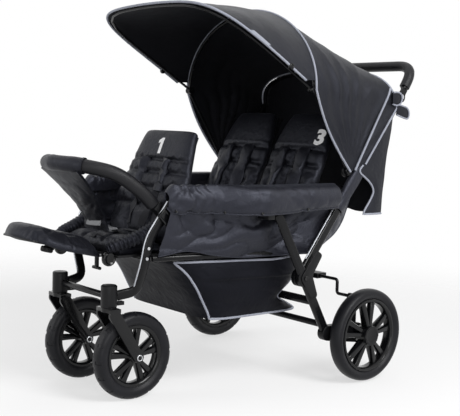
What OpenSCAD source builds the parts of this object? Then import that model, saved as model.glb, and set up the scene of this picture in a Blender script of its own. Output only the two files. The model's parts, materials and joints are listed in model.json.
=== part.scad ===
/* [Uprights and rear legs] */
// Height of the fold axis, where uprights and rear legs cross
fold_z = 323; // [305:1:340]
// Place of the fold axis along the stroller
fold_y = 135; // [125:1:145]
// Half distance between the middles of the two uprights
upright_x = 295; // [290:1:305]
// Slope of the uprights
upright_tilt = 52.8; // [52:0.1:54]
// Length of an upright from the fold axis to the handle hinge
upright_len = 669; // [655:1:685]
// Width of the flat-oval tube
tube_w = 30; // [28:1:32]
// Thickness of the flat-oval tube
tube_t = 15; // [14:1:16]
// Slope of the rear legs
leg_tilt = 60; // [58:0.5:62]
// Length of a rear leg above the fold axis
leg_upper_len = 218; // [205:1:225]
// Length of a rear leg below the fold axis
leg_lower_len = 198; // [190:1:205]
// Diameter of the pins that the frame folds and tilts on
pin_d = 10; // [8:0.5:12]

/* [Wheels] */
// Distance between the middles of the rear tyres
rear_track = 710; // [700:1:740]
// Place of the rear axle along the stroller
rear_axle_y = 361; // [350:1:375]
// Radius of a rear wheel
rear_wheel_r = 140; // [130:1:145]
// Radius of a rear rim
rear_rim_r = 107; // [100:1:112]
// Width of a rear tyre
rear_tyre_w = 48; // [42:1:50]
// Radius of a front wheel
front_wheel_r = 120; // [112:1:122]
// Radius of a front rim
front_rim_r = 84; // [78:1:90]
// Width of a front tyre
front_tyre_w = 46; // [40:1:47]
// Number of twin spokes on a wheel
spoke_count = 5; // [4:1:6]

/* [Casters] */
// Distance between the two swivel axes
caster_track = 258; // [252:1:270]
// Place of the swivel axes along the stroller
caster_y = -407; // [-415:1:-400]
// Distance that the front axle trails behind the swivel axis
caster_trail = 79; // [72:1:82]
// Diameter of a caster housing
housing_d = 44; // [40:1:48]
// Height of a caster housing
housing_h = 60; // [54:1:64]
// Height of the underside of a caster housing
housing_z = 261; // [256:1:266]

/* [Seat frame] */
// Height of the arm rails
arm_z = 574; // [565:1:585]
// Radius of the arm rails and seat rails
rail_r = 9; // [8:0.5:10]
// Half width over the arm rails at the front
arm_front_x = 205; // [200:1:212]
// Half width over the arm rails at the widest part of the bow
arm_bow_x = 256; // [250:1:260]
// Half width over the arm rails at the uprights
arm_rear_x = 268; // [264:1:270]
// Height of the seat rails
seat_rail_z = 392; // [388:1:398]
// Place of the front legs along the stroller
front_leg_y = -326; // [-332:1:-320]
// Width of the front leg's flat-oval tube
front_tube_w = 28; // [26:1:30]
// Thickness of the front leg's flat-oval tube
front_tube_t = 14; // [12:1:15]
// Radius of the seat cross tubes
cross_r = 8; // [7:0.5:9]

/* [Seats] */
// Place of the front backrest's hinge
front_hinge_y = -222; // [-226:1:-216]
// Place of the rear backrests' hinge
rear_hinge_y = 168; // [164:1:172]
// Length of the front backrest
front_back_len = 330; // [320:1:345]
// Length of a rear backrest
rear_back_len = 410; // [390:1:425]
// Lean of the front backrest from upright
front_back_lean = 20; // [16:1:24]
// Lean of the rear backrests from upright
rear_back_lean = 25; // [20:1:28]
// Half width of the front seat
front_seat_half = 150; // [140:1:156]
// Thickness of a seat pad at its crown
pad_t = 46; // [38:1:50]
// Thickness of a backrest pad at its crown
back_pad_t = 40; // [34:1:44]

/* [Footrest and bumper] */
// Length of the footrest from its hinge to its tip
footrest_len = 218; // [205:1:225]
// Half width of the footrest pad
footrest_half = 116; // [105:1:122]
// Rise of the footrest from level
footrest_rise = 13; // [8:1:16]
// Diameter of the bumper's foam
bumper_foam_d = 38; // [34:1:40]
// Diameter of the bumper's tube
bumper_tube_d = 20; // [18:1:22]

/* [Canopy] */
// Height of the main hoop's pivot
canopy_pivot_z = 626; // [618:1:634]
// Distance of that pivot in front of the upright's middle
canopy_pivot_gap = 43; // [41:1:46]
// Place of the main hoop's top along the stroller
hoop_y = 166; // [160:1:172]
// Height of the visor's hinge on the main hoop
visor_hinge_z = 862; // [855:1:870]
// Height of the top of the main hoop
hoop_top_z = 1105; // [1090:1:1120]
// Half width of the main hoop
hoop_half = 303; // [302:0.5:306]
// Forward reach of the visor from the main hoop
visor_reach = 384; // [370:1:395]
// Thickness of the canopy cloth
cloth_t = 3; // [2:0.5:4]
// Height of the rear bow's ends
bow_z = 820; // [815:1:826]
// Rise of the rear bow above its ends
bow_rise = 112; // [105:1:118]

/* [Handle and brake] */
// Rise of the handle above its hinge
handle_rise = 100; // [92:1:106]
// Set-back of the handle behind its hinge
handle_back = 64; // [58:1:70]
// Diameter of the handle tube
handle_d = 22; // [20:1:24]
// Diameter of the handle's foam grip
grip_d = 32; // [29:1:34]
// Diameter of the brake rod
brake_d = 10; // [9:0.5:11]
// Height of the brake rod's crank above its pivots
brake_crank = 43; // [38:1:46]

/* [Basket] */
// Height of the basket's floor
basket_floor_z = 225; // [220:1:232]
// Thickness of the basket's walls
basket_wall = 4; // [3:0.5:5]

/* [Hidden] */

// Colours
black_plastic = "#1d1e20";
black_tube = "#26272a";
cloth_black = "#2a2b30";
cloth_dark = "#1a1a1d";
rubber = "#37383b";
steel = "#b9bcc0";

// Clearances and cuts
gap = 0.4;
fit = 0.06;
over = 1;

// Shape of swept tubes
tube_sides = 12;
bend_steps = 5;

// Frame places
hinge_y = fold_y + upright_len * cos(upright_tilt);
hinge_z = fold_z + upright_len * sin(upright_tilt);
leg_clear = 2;
leg_x = upright_x + tube_t + leg_clear;
eye_r = 17;
plate_r = 26;
lap_t = tube_t / 2 - gap / 2;
leg_top_y = fold_y - leg_upper_len * cos(leg_tilt);
leg_top_z = fold_z + leg_upper_len * sin(leg_tilt);
leg_foot_y = fold_y + leg_lower_len * cos(leg_tilt);
leg_foot_z = fold_z - leg_lower_len * sin(leg_tilt);
pin_r = pin_d / 2;
pin_head_r = 8;
pin_head_t = 3;
rear_wheel_x = rear_track / 2;

// Shoe that carries the rear axle behind the leg
shoe_t = 24;
shoe_leg_r = 22;
shoe_axle_r = 30;
shoe_x = leg_x - shoe_t / 2;
axle_r = 6;
rear_hub_l = 46;
rear_hub_r = 26;
hub_cap_t = 4;
hub_cap_over = 4;
hub_cap_sides = 10;
shoe_spacer_r = 13;

// Rear cross tubes
upper_cross_share = 0.42;
upper_cross_r = 12;
lower_cross_r = 9.5;
lower_cross_rise = 22;

// Caster and fork
front_axle_y = caster_y + caster_trail;
caster_x = caster_track / 2;
stem_r = 9;
stem_cap = 6;
crown_t = 11;
crown_r = 21;
fork_plate_t = 8;
fork_gap = 4;
fork_half = front_tyre_w / 2 + fork_gap + fork_plate_t;
fork_end_r = 15;
fork_top_r = 17;
front_axle_r = 5;
bolt_head_r = 8;
bolt_head_t = 4;
front_hub_r = 18;
lock_w = 16;
lock_l = 22;
lock_t = 10;
lock_pin_r = 3;
lock_pin_l = 10;
lock_rise = 8;
lug_t = 4;
housing_bevel = 1.5;

// Wheel details
rim_wall = 9;
rim_width_share = 0.62;
spoke_w = 11;
spoke_t = 9;
spoke_root_share = 0.6;
spoke_fork = 6;
spoke_rim_angle = 16;
// Half outline of a tyre: height above the rim and half width, as shares
tyre_shares = [[0.012, 0.62], [0.2, 0.86], [0.45, 1], [0.7, 0.95], [0.9, 0.68], [0.985, 0.34], [1, 0]];

// Arm rail and front leg routes
arm_setback = 64;
arm_front_y = front_leg_y + arm_setback;
arm_bow_y = -60;
arm_rear_over = 14;
arm_bend_r = 18;
arm_rail_side = [0.9, -0.4, 0.1];
leg_bend_out = 12;
leg_bend_x = caster_x + leg_bend_out;
leg_start_share = 0.48;
leg_start_z = housing_z + housing_h * leg_start_share;
leg_bend_r = 26;
leg_knee_x = 178;
leg_knee_z = 386;
leg_high_z = 442;
leg_end_drop = 28;
arm_start_drop = 22;
leg_start_gap = 3;
leg_bend_rise = 9;
seat_rail_front_x = 182;
seat_rail_over = 12;
seat_rail_rear_y = upright_y(seat_rail_z) + seat_rail_over;
rail_start_gap = 1.8;
boss_r = 7;

// Cross tube places and trays
cross_drop = 6;
cross_z = seat_rail_z - cross_drop;
cross_end_gap = 1.6;
front_cross_a_y = -292;
front_cross_b_y = -232;
rear_cross_a_y = -40;
rear_cross_b_y = 140;
tray_t = 6;
tray_z = cross_z + cross_r + gap;
front_tray_y = -396;
rear_tray_y = -62;
tray_tail = 8;
front_tray_end_y = front_hinge_y + tray_tail;
rear_tray_end_y = rear_hinge_y + tray_tail;
caster_cross_r = 9;

// Backrest hinges
barrel_r = 7;
hinge_pin_r = 3.5;
back_hinge_z = tray_z + tray_t + barrel_r + gap;
board_t = 6;
board_neck = 14;
board_edge = 16;
front_barrel_half = 110;
rear_back_half = 118;
rear_back_mid = 128;
rear_barrel_half = 90;
back_bottom_gap = 10;
back_top_over = 8;
// Half widths of a backrest from its foot to its top, as shares of its widest half
front_back_half = 162;
front_back_shares = [0.86, 0.96, 1, 0.97, 0.88, 0.78, 0.66];
rear_back_shares = [0.94, 0.99, 1, 1, 0.98, 0.9, 0.72];
seat_pad_tail = 32;
rear_pad_gap = 6;
pad_rim_share = 0.42;
pad_waist_share = 0.03;
tuft_share = 0.34;

// Footrest hinge and lever
footrest_hinge_gap = 12;
footrest_hinge_y = front_tray_y - footrest_hinge_gap;
footrest_hinge_z = tray_z + tray_t / 2;
footrest_barrel_half = 80;
footrest_board_half = 88;
footrest_pad_t = 22;
footrest_edge = 12;
knob_r = 14;
knob_h = 15;
knob_share = 0.5;
footrest_shares = [0.8, 0.9, 0.97, 1, 0.97, 0.86, 0.6];
lever_y = -366;
lever_axis_drop = 8;
lever_axis_z = tray_z - lever_axis_drop;
lever_drop = 40;
lever_t = 9;
lever_bar = 36;
lever_pin_r = 3;

// Bumper route
bumper_end_x = 171;
bumper_setback = 58;
bumper_end_y = front_leg_y + bumper_setback;
bumper_end_z = 503;
bumper_slope = 45;
socket_l = 46;
socket_wall = 3;
socket_floor = 4;
bumper_run = 92;
bracket_reach = 20;
bumper_bend_r = 30;
bumper_side = [0, 0.5, 1];
// Bumper's corner points as shares of its half width and of its run to the apex
bumper_shares = [[0.88, 0.42, 0.74], [0.56, 0.84, 0.97]];
bumper_apex_y = -504;
bumper_apex_z = 640;

// Canopy places
canopy_pivot_y = upright_y(canopy_pivot_z) - canopy_pivot_gap;
hoop_r = 5;
hoop_in = hoop_r + cloth_t + 3 * gap;
hoop_x = hoop_half - hoop_in;
hoop_eye_r = 11;
clamp_t = 8;
visor_r = 4;
visor_pin_r = 3;
visor_x = hoop_x - 2 * hoop_r - 2 * gap;
visor_front_in = visor_r + cloth_t + gap;
visor_crown = 10;
canopy_crown = 14;
cloth_from_share = 0.93;
visor_rise = 226;
visor_corner_power = 5.5;
visor_edge_share = 0.83;
bow_r = 6;
bow_peg = 3;
bow_peg_r = 4.5;
bow_x = upright_x - tube_t / 2 - bow_r - bow_peg;
bow_lean = 30;
bow_corner_power = 2.9;
canopy_arch_share = 0.6;
hoop_steps = 30;
hoop_side = [0, 1, 0.5];
visor_side = [0, 0.5, 1];
bow_side = [0, 1, 0];
canopy_middle = [0, 220, 700];
cloth_stand = 5;
cloth_x = upright_x + tube_t / 2 + cloth_stand;
skirt_rise = 22;

// Handle places
handle_x = upright_x;
handle_neck = 14;
handle_start = eye_r + handle_neck;
handle_bend_r = 62;
grip_from_share = 0.3;

// Brake places
brake_ahead = 19;
brake_y = rear_axle_y - brake_ahead;
brake_z = 250;
brake_jog_x = 250;
pedal_x = 130;
pedal_l = 90;
pedal_w = 40;
pedal_t = 16;
pedal_front_share = 0.3;

// Basket places
basket_top_z = cross_z - cross_r - gap;
basket_front_top_y = -252;
basket_front_floor_y = -165;
basket_rear_top_y = 118;
basket_rear_floor_y = 132;
basket_floor_half = 205;
basket_sides = 24;
basket_corner_share = 0.3;
basket_mid_share = 0.5;

// Side panels
panel_front_y = -238;
panel_rear_y = 282;
panel_over = 4;
panel_top_z = arm_z + rail_r + panel_over;
panel_foot_z = 404;
panel_t = 5;
panel_band_share = 0.42;
panel_puff = 5;
panel_clear = 1.2;
latch_l = 24;
latch_h = 30;
latch_plate_t = 8;

// Curtain
curtain_foot_z = 490;
curtain_in = bow_r + 2 * gap;
curtain_t = 3;
curtain_wave = 4;
curtain_waves = 5;
curtain_lean = 14;

// Harness buckles
buckle_w = 38;
buckle_l = 30;
buckle_t = 11;
buckle_r = 7;
front_buckle_y = -325;
rear_buckle_y = 50;

function upright_y(z) = fold_y + (z - fold_z) / tan(upright_tilt);
function mix(a, b, t) = a + (b - a) * t;
function unit(v) = v / norm(v);
function hump(t) = sin(180 * t);
function flat_hump(t, p) = 1 - pow(abs(2 * t - 1), p);

// Half width over the seat rails at a place along the stroller
function seat_rail_x(y) = mix(seat_rail_front_x, arm_rear_x,
    min(1, (y - front_leg_y) / (seat_rail_rear_y - front_leg_y)));

// Half width over the arm rails at a place along the stroller
function arm_rail_x(y) = y < arm_bow_y
    ? mix(arm_front_x, arm_bow_x, (y - arm_front_y) / (arm_bow_y - arm_front_y))
    : mix(arm_bow_x, arm_rear_x, min(1, (y - arm_bow_y) / (upright_y(arm_z) - arm_bow_y)));

// Route with each inner corner rounded over a reach of r
function rounded(p, r) = concat([p[0]],
    [for (i = [1:len(p) - 2])
        let (a = p[i] + unit(p[i - 1] - p[i]) * r, b = p[i] + unit(p[i + 1] - p[i]) * r)
        for (k = [0:bend_steps])
            let (t = k / bend_steps)
            mix(mix(a, p[i], t), mix(p[i], b, t), t)],
    [p[len(p) - 1]]);

function mirrored(p) = [for (i = [len(p) - 1:-1:0]) [-p[i][0], p[i][1], p[i][2]]];
function both_sides(p) = concat(p, mirrored([for (i = [0:len(p) - 2]) p[i]]));
function round_section(d, n) = [for (k = [0:n - 1]) [cos(360 * k / n), sin(360 * k / n)] * d / 2];
function oval_section(t, w, n) = [for (k = [0:n - 1])
    let (a = 360 * (k + 0.5) / n)
    [cos(a) * t / 2, sin(a) * t / 2 + sign(sin(a)) * (w - t) / 2]];

module sided(side) {
    mirror([side < 0 ? 1 : 0, 0, 0]) children();
}

// Local z runs from a to b, and local x lies as near to ref as it can
module along(a, b, ref = [1, 0, 0]) {
    t = unit(b - a);
    s = unit(ref - t * (ref * t));
    c = cross(t, s);
    multmatrix([[s[0], c[0], t[0], a[0]], [s[1], c[1], t[1], a[1]], [s[2], c[2], t[2], a[2]], [0, 0, 0, 1]])
        children();
}

module rod(a, b, r) {
    along(a, b, ref = abs(unit(b - a)[0]) > 0.9 ? [0, 0, 1] : [1, 0, 0]) cylinder(r = r, h = norm(b - a));
}

// Round bar across the stroller, centred on x
module x_bar(x, y, z, r, l) {
    translate([x, y, z]) rotate([0, 90, 0]) cylinder(r = r, h = l, center = true);
}

module oval(t, w) {
    square([t, w - t], center = true);
    for (s = [-1, 1]) translate([0, s * (w - t) / 2]) circle(d = t);
}

// Closed skin over a row of rings with equal counts of points
module skin(rings) {
    n = len(rings);
    m = len(rings[0]);
    sides = [for (i = [0:n - 2]) for (k = [0:m - 1])
        let (a = i * m + k, b = i * m + (k + 1) % m)
        each [[a, a + m, b + m], [a, b + m, b]]];
    caps = [[for (k = [0:m - 1]) k], [for (k = [m - 1:-1:0]) (n - 1) * m + k]];
    polyhedron(points = [for (r = rings) each r], faces = concat(sides, caps));
}

function route_ring(path, i, section, ref) =
    let (t = unit(path[min(i + 1, len(path) - 1)] - path[max(i - 1, 0)]),
         s = unit(ref - t * (ref * t)), c = cross(t, s))
    [for (q = section) path[i] + s * q[0] + c * q[1]];

// Section carried along a route
module sweep(path, section, ref) {
    skin([for (i = [0:len(path) - 1]) route_ring(path, i, section, ref)]);
}

// Hollow sleeve along a route, from its outer section to its inner one
module sleeve(path, outer, inner, ref) {
    n = len(path);
    m = len(outer);
    points = concat([for (i = [0:n - 1]) each route_ring(path, i, outer, ref)],
                    [for (i = [0:n - 1]) each route_ring(path, i, inner, ref)]);
    walls = [for (i = [0:n - 2]) for (k = [0:m - 1])
        let (a = i * m + k, b = i * m + (k + 1) % m, d = n * m)
        each [[a, a + m, b + m], [a, b + m, b], [d + a, d + b + m, d + a + m], [d + a, d + b, d + b + m]]];
    ends = [for (e = [0, 1]) for (k = [0:m - 1])
        let (a = e * (n - 1) * m + k, b = e * (n - 1) * m + (k + 1) % m, d = n * m)
        each e == 0 ? [[a, b, d + b], [a, d + b, d + a]] : [[a, d + b, b], [a, d + a, d + b]]];
    polyhedron(points = points, faces = concat(walls, ends));
}

// Closed sheet or pad between a front face and a back face, each a function of u and v
module two_faced(front, back, nu, nv) {
    n = (nu + 1) * (nv + 1);
    id = function(i, j) i * (nv + 1) + j;
    points = concat([for (i = [0:nu]) for (j = [0:nv]) front(i / nu, j / nv)],
                    [for (i = [0:nu]) for (j = [0:nv]) back(i / nu, j / nv)]);
    faces = concat(
        [for (i = [0:nu - 1]) for (j = [0:nv - 1]) [id(i, j), id(i, j + 1), id(i + 1, j + 1), id(i + 1, j)]],
        [for (i = [0:nu - 1]) for (j = [0:nv - 1])
            [n + id(i, j), n + id(i + 1, j), n + id(i + 1, j + 1), n + id(i, j + 1)]],
        [for (j = [0:nv - 1]) [id(0, j + 1), id(0, j), n + id(0, j), n + id(0, j + 1)]],
        [for (j = [0:nv - 1]) [id(nu, j), id(nu, j + 1), n + id(nu, j + 1), n + id(nu, j)]],
        [for (i = [0:nu - 1]) [id(i, 0), id(i + 1, 0), n + id(i + 1, 0), n + id(i, 0)]],
        [for (i = [0:nu - 1]) [id(i + 1, nv), id(i, nv), n + id(i, nv), n + id(i + 1, nv)]]);
    polyhedron(points = points, faces = [for (f = faces) each [[f[0], f[1], f[2]], [f[0], f[2], f[3]]]]);
}

// Frame

module upright() {
    color(black_tube) difference() {
        union() {
            along([upright_x, fold_y, fold_z], [upright_x, hinge_y, hinge_z]) {
                linear_extrude(upright_len - eye_r - gap) oval(tube_t, tube_w);
                translate([-tube_t / 2, -tube_w / 2, upright_len - eye_r - gap - over])
                    cube([lap_t, tube_w, eye_r + gap + over]);
            }
            x_bar(upright_x, fold_y, fold_z, plate_r, tube_t);
            x_bar(upright_x - tube_t / 2 + lap_t / 2, hinge_y, hinge_z, eye_r, lap_t);
        }
        x_bar(upright_x, fold_y, fold_z, pin_r + fit, tube_t + over);
        x_bar(upright_x, hinge_y, hinge_z, pin_r + fit, tube_t + over);
    }
}

front_leg_route = rounded([
    [caster_x, caster_y + housing_d / 2 + leg_start_gap, leg_start_z],
    [leg_bend_x, front_leg_y, leg_start_z + leg_bend_rise],
    [leg_knee_x, front_leg_y, leg_knee_z],
    [leg_knee_x + over, front_leg_y + leg_bend_rise, leg_high_z],
    [arm_front_x - over, arm_front_y, arm_z - leg_end_drop]], leg_bend_r);

module front_leg(spare = 0) {
    color(black_tube) sweep(front_leg_route,
        oval_section(front_tube_t + 2 * spare, front_tube_w + 2 * spare, tube_sides), [1, 0, 0]);
}

arm_rail_route = rounded([
    [arm_front_x, arm_front_y, arm_z - arm_start_drop],
    [arm_front_x, arm_front_y, arm_z],
    [arm_bow_x, arm_bow_y, arm_z],
    [arm_rear_x, upright_y(arm_z) + arm_rear_over, arm_z]], arm_bend_r);

module arm_rail() {
    color(black_tube) sweep(arm_rail_route, round_section(2 * rail_r, tube_sides), arm_rail_side);
}

module seat_rails() {
    start_y = front_leg_y + front_tube_w / 2 + rail_start_gap;
    color(black_tube) for (side = [1, -1]) sided(side)
        rod([seat_rail_x(start_y), start_y, seat_rail_z], [arm_rear_x, seat_rail_rear_y, seat_rail_z], rail_r);
}

module cross_tubes() {
    color(black_tube) {
        for (y = [front_cross_a_y, front_cross_b_y, rear_cross_a_y, rear_cross_b_y])
            x_bar(0, y, cross_z, cross_r, 2 * (seat_rail_x(y) - rail_r - cross_end_gap));
        x_bar(0, caster_y, leg_start_z, caster_cross_r, caster_track - housing_d - gap);
    }
}

module caster_housings() {
    r = housing_d / 2;
    color(black_plastic) for (side = [1, -1]) sided(side) translate([caster_x, caster_y, housing_z])
        difference() {
            rotate_extrude() polygon([[0, 0], [r - housing_bevel, 0], [r, housing_bevel],
                [r, housing_h - 2 * housing_bevel], [r - 2 * housing_bevel, housing_h], [0, housing_h]]);
            translate([0, 0, -over]) cylinder(r = stem_r + fit, h = housing_h - stem_cap + over);
            translate([0, r - lock_pin_l, lock_rise]) rotate([-90, 0, 0])
                cylinder(r = lock_pin_r + fit, h = lock_pin_l + over);
        }
}

// Pin with a head on its outer end, from x = from to x = to
module headed_pin(from, to, y, z) {
    x_bar((from + to + pin_head_t) / 2, y, z, pin_r, to - from + pin_head_t);
    x_bar(to + pin_head_t / 2, y, z, pin_head_r, pin_head_t);
}

module frame_pins() {
    boss_l = upright_x - tube_t / 2 - arm_rear_x - rail_r - 2 * gap;
    boss_x = (arm_rear_x + rail_r + upright_x - tube_t / 2) / 2;
    color(steel) {
        for (side = [1, -1]) sided(side) {
            headed_pin(upright_x - tube_t / 2, leg_x + tube_t / 2 + gap, fold_y, fold_z);
            headed_pin(upright_x - tube_t / 2, upright_x + tube_t / 2 + gap, hinge_y, hinge_z);
            for (z = [arm_z, seat_rail_z]) x_bar(boss_x, upright_y(z), z, boss_r, boss_l);
            x_bar(rear_back_mid, rear_hinge_y, back_hinge_z, hinge_pin_r, 2 * (rear_barrel_half + lug_t + gap));
        }
        x_bar(0, front_hinge_y, back_hinge_z, hinge_pin_r, 2 * (front_barrel_half + lug_t + gap));
        x_bar(0, footrest_hinge_y, footrest_hinge_z, hinge_pin_r, 2 * (footrest_barrel_half + lug_t + gap));
    }
}

module leg_latches() {
    front_y = leg_top_y - tube_w / 2 / sin(leg_tilt) - gap - latch_l;
    inner_x = max([for (k = [0:10]) panel_x(front_y + latch_l, k / 10)]) + gap;
    foot_z = leg_top_z - latch_h / 2;
    color(black_plastic) for (side = [1, -1]) sided(side) translate([inner_x, front_y, foot_z]) {
        cube([leg_x + tube_t / 2 - inner_x, latch_l, latch_h]);
        cube([latch_plate_t, latch_l, arm_z + rail_r - foot_z]);
    }
}

// Rear legs

module rear_leg() {
    color(black_tube) difference() {
        union() {
            along([leg_x, leg_foot_y, leg_foot_z], [leg_x, leg_top_y, leg_top_z])
                linear_extrude(leg_upper_len + leg_lower_len) oval(tube_t, tube_w);
            x_bar(leg_x, fold_y, fold_z, plate_r, tube_t);
        }
        x_bar(leg_x, fold_y, fold_z, pin_r + fit, tube_t + over);
    }
}

module rear_cross_tubes() {
    upper_y = mix(fold_y, leg_foot_y, upper_cross_share);
    upper_z = mix(fold_z, leg_foot_z, upper_cross_share);
    color(black_tube) {
        x_bar(0, upper_y, upper_z, upper_cross_r, 2 * (leg_x - tube_t / 2 - gap));
        x_bar(0, leg_foot_y, leg_foot_z + lower_cross_rise, lower_cross_r, 2 * (shoe_x - gap));
    }
}

module axle_shoe() {
    brake_boss_r = brake_d;
    color(black_plastic) difference() {
        union() {
            translate([shoe_x, 0, 0]) rotate([90, 0, 90]) linear_extrude(shoe_t) hull() {
                translate([leg_foot_y, leg_foot_z]) circle(r = shoe_leg_r, $fn = 32);
                translate([rear_axle_y, rear_wheel_r]) circle(r = shoe_axle_r, $fn = 32);
            }
            translate([shoe_x, rear_axle_y, rear_wheel_r]) rotate([0, 90, 0]) {
                cylinder(r = shoe_spacer_r, h = rear_wheel_x - rear_hub_l / 2 - shoe_x - gap);
                cylinder(r = axle_r, h = rear_wheel_x + rear_hub_l / 2 - gap - shoe_x);
            }
            x_bar(leg_x, brake_y, brake_z, brake_boss_r, shoe_t);
            translate([shoe_x, brake_y - brake_boss_r, rear_wheel_r])
                cube([shoe_t, 2 * brake_boss_r, brake_z - rear_wheel_r]);
        }
        x_bar(leg_x, brake_y, brake_z, brake_d / 2 + fit, shoe_t + over);
        along([leg_x, leg_foot_y, leg_foot_z], [leg_x, leg_top_y, leg_top_z])
            linear_extrude(leg_lower_len) oval(tube_t + 2 * gap, tube_w + 2 * gap);
    }
}

// Wheels, each made about its own axle and then set in place

module tyre(r, rim, w) {
    half = [for (p = tyre_shares) [mix(rim, r, p[0]), p[1] * w / 2]];
    last = len(half) - 1;
    color(rubber) rotate([0, 90, 0]) rotate_extrude()
        polygon(concat([for (p = half) [p[0], -p[1]]], [for (i = [last - 1:-1:0]) half[i]]));
}

// Pair of spokes that fork just outside the hub and end inside the rim's wall
module twin_spoke(r, hub) {
    end_r = r - rim_wall / 2;
    half_angle = asin(spoke_w / 2 / end_r);
    end = function(a) [end_r * cos(a), end_r * sin(a)];
    root = [hub * spoke_root_share, spoke_w / 2];
    outer = end(spoke_rim_angle + half_angle);
    inner = end(spoke_rim_angle - half_angle);
    rotate([90, 0, 90]) linear_extrude(spoke_t, center = true)
        polygon([root, outer, inner, [hub + spoke_fork, 0], [inner[0], -inner[1]], [outer[0], -outer[1]],
            [root[0], -root[1]]]);
}

// Rim with spokes in pairs, hub, outer hub cap and bore
module rim(r, w, hub, hub_l, axle, cap_t = 0) {
    step = 360 / spoke_count;
    color(black_plastic) difference() {
        union() {
            rotate([0, 90, 0]) rotate_extrude()
                translate([r - rim_wall, -w * rim_width_share / 2]) square([rim_wall, w * rim_width_share]);
            rotate([0, 90, 0]) cylinder(r = hub, h = hub_l, center = true);
            if (cap_t > 0) translate([hub_l / 2 - over, 0, 0]) rotate([0, 90, 0])
                cylinder(r = hub + hub_cap_over, h = cap_t + over, $fn = hub_cap_sides);
            for (k = [0:spoke_count - 1]) rotate([k * step, 0, 0]) twin_spoke(r, hub);
        }
        translate([-hub_l / 2 - over, 0, 0]) rotate([0, 90, 0])
            cylinder(r = axle + fit, h = hub_l + over + (cap_t > 0 ? 0 : over));
    }
}

module rear_wheel_at() {
    translate([rear_wheel_x, rear_axle_y, rear_wheel_r]) children();
}

module front_wheel_at() {
    translate([caster_x, front_axle_y, front_wheel_r]) children();
}

module rear_tyre() {
    rear_wheel_at() tyre(rear_wheel_r, rear_rim_r, rear_tyre_w);
}

module rear_rim() {
    rear_wheel_at() rim(rear_rim_r, rear_tyre_w, rear_hub_r, rear_hub_l, axle_r, hub_cap_t);
}

module front_tyre() {
    front_wheel_at() tyre(front_wheel_r, front_rim_r, front_tyre_w);
}

module front_rim() {
    front_wheel_at() rim(front_rim_r, front_tyre_w, front_hub_r, front_tyre_w, front_axle_r);
}

// Casters

module fork() {
    top_z = housing_z - gap;
    stem_l = housing_h - stem_cap - gap;
    color(black_plastic) {
        translate([caster_x, caster_y, top_z - crown_t]) cylinder(r = crown_r, h = crown_t);
        translate([caster_x, caster_y, top_z - over]) cylinder(r = stem_r, h = stem_l + over);
        translate([caster_x - fork_half, caster_y - fork_top_r, top_z - crown_t])
            cube([2 * fork_half, 2 * fork_top_r, crown_t - over]);
        for (s = [-1, 1]) {
            translate([caster_x + s * (fork_half - fork_plate_t / 2) - fork_plate_t / 2, 0, 0])
                rotate([90, 0, 90]) linear_extrude(fork_plate_t) hull() {
                    translate([caster_y, top_z - fork_top_r - over]) circle(r = fork_top_r, $fn = 32);
                    translate([front_axle_y, front_wheel_r]) circle(r = fork_end_r, $fn = 32);
                }
            x_bar(caster_x + s * (fork_half + bolt_head_t / 2), front_axle_y, front_wheel_r, bolt_head_r, bolt_head_t);
        }
        x_bar(caster_x, front_axle_y, front_wheel_r, front_axle_r, 2 * fork_half);
    }
}

module swivel_lock() {
    color(black_plastic) translate([caster_x, caster_y + housing_d / 2, housing_z + lock_rise]) {
        translate([0, gap - lock_pin_l, 0]) rotate([-90, 0, 0]) cylinder(r = lock_pin_r, h = lock_pin_l);
        translate([-lock_w / 2, gap, -lock_t / 2]) cube([lock_w, lock_l, lock_t]);
    }
}

// Handle and brake

handle_normal = unit([0, handle_rise, -handle_back]);
handle_route = both_sides(rounded([
    [handle_x, hinge_y, hinge_z] + unit([0, handle_back, handle_rise]) * handle_start,
    [handle_x, hinge_y + handle_back, hinge_z + handle_rise],
    [0, hinge_y + handle_back, hinge_z + handle_rise]], handle_bend_r));

module handle_tube() {
    color(black_tube) {
        sweep(handle_route, round_section(handle_d, tube_sides), handle_normal);
        for (side = [1, -1]) sided(side) difference() {
            union() {
                x_bar(upright_x + gap / 2 + lap_t / 2, hinge_y, hinge_z, eye_r, lap_t);
                along([handle_x, hinge_y, hinge_z], handle_route[0])
                    translate([gap / 2, -handle_d / 2, 0]) cube([lap_t, handle_d, handle_start + over]);
            }
            x_bar(upright_x, hinge_y, hinge_z, pin_r + fit, tube_t + over);
        }
    }
}

module handle_grip() {
    first = mix(handle_route[0], handle_route[1], grip_from_share);
    last = [-first[0], first[1], first[2]];
    route = concat([first], [for (i = [1:len(handle_route) - 2]) handle_route[i]], [last]);
    color(cloth_dark) sleeve(route, round_section(grip_d, tube_sides),
        round_section(handle_d + 2 * gap, tube_sides), handle_normal);
}

module brake_bar() {
    end_x = shoe_x + shoe_t;
    stub = end_x - brake_jog_x - brake_d;
    color(black_tube) {
        sweep(both_sides(rounded([
            [brake_jog_x + 2 * brake_d, brake_y, brake_z], [brake_jog_x, brake_y, brake_z],
            [brake_jog_x, brake_y, brake_z + brake_crank], [0, brake_y, brake_z + brake_crank]], brake_d)),
            round_section(brake_d, tube_sides), [0, 1, 0]);
        for (side = [1, -1]) sided(side) x_bar(end_x - stub / 2, brake_y, brake_z, brake_d / 2, stub);
    }
}

module brake_pedal() {
    color(black_plastic) translate([pedal_x, brake_y, brake_z + brake_crank]) difference() {
        translate([-pedal_l / 2, -pedal_w * pedal_front_share, -pedal_t / 2]) cube([pedal_l, pedal_w, pedal_t]);
        rotate([0, 90, 0]) cylinder(d = brake_d + 2 * gap, h = pedal_l + over, center = true);
    }
}

// Canopy

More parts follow.
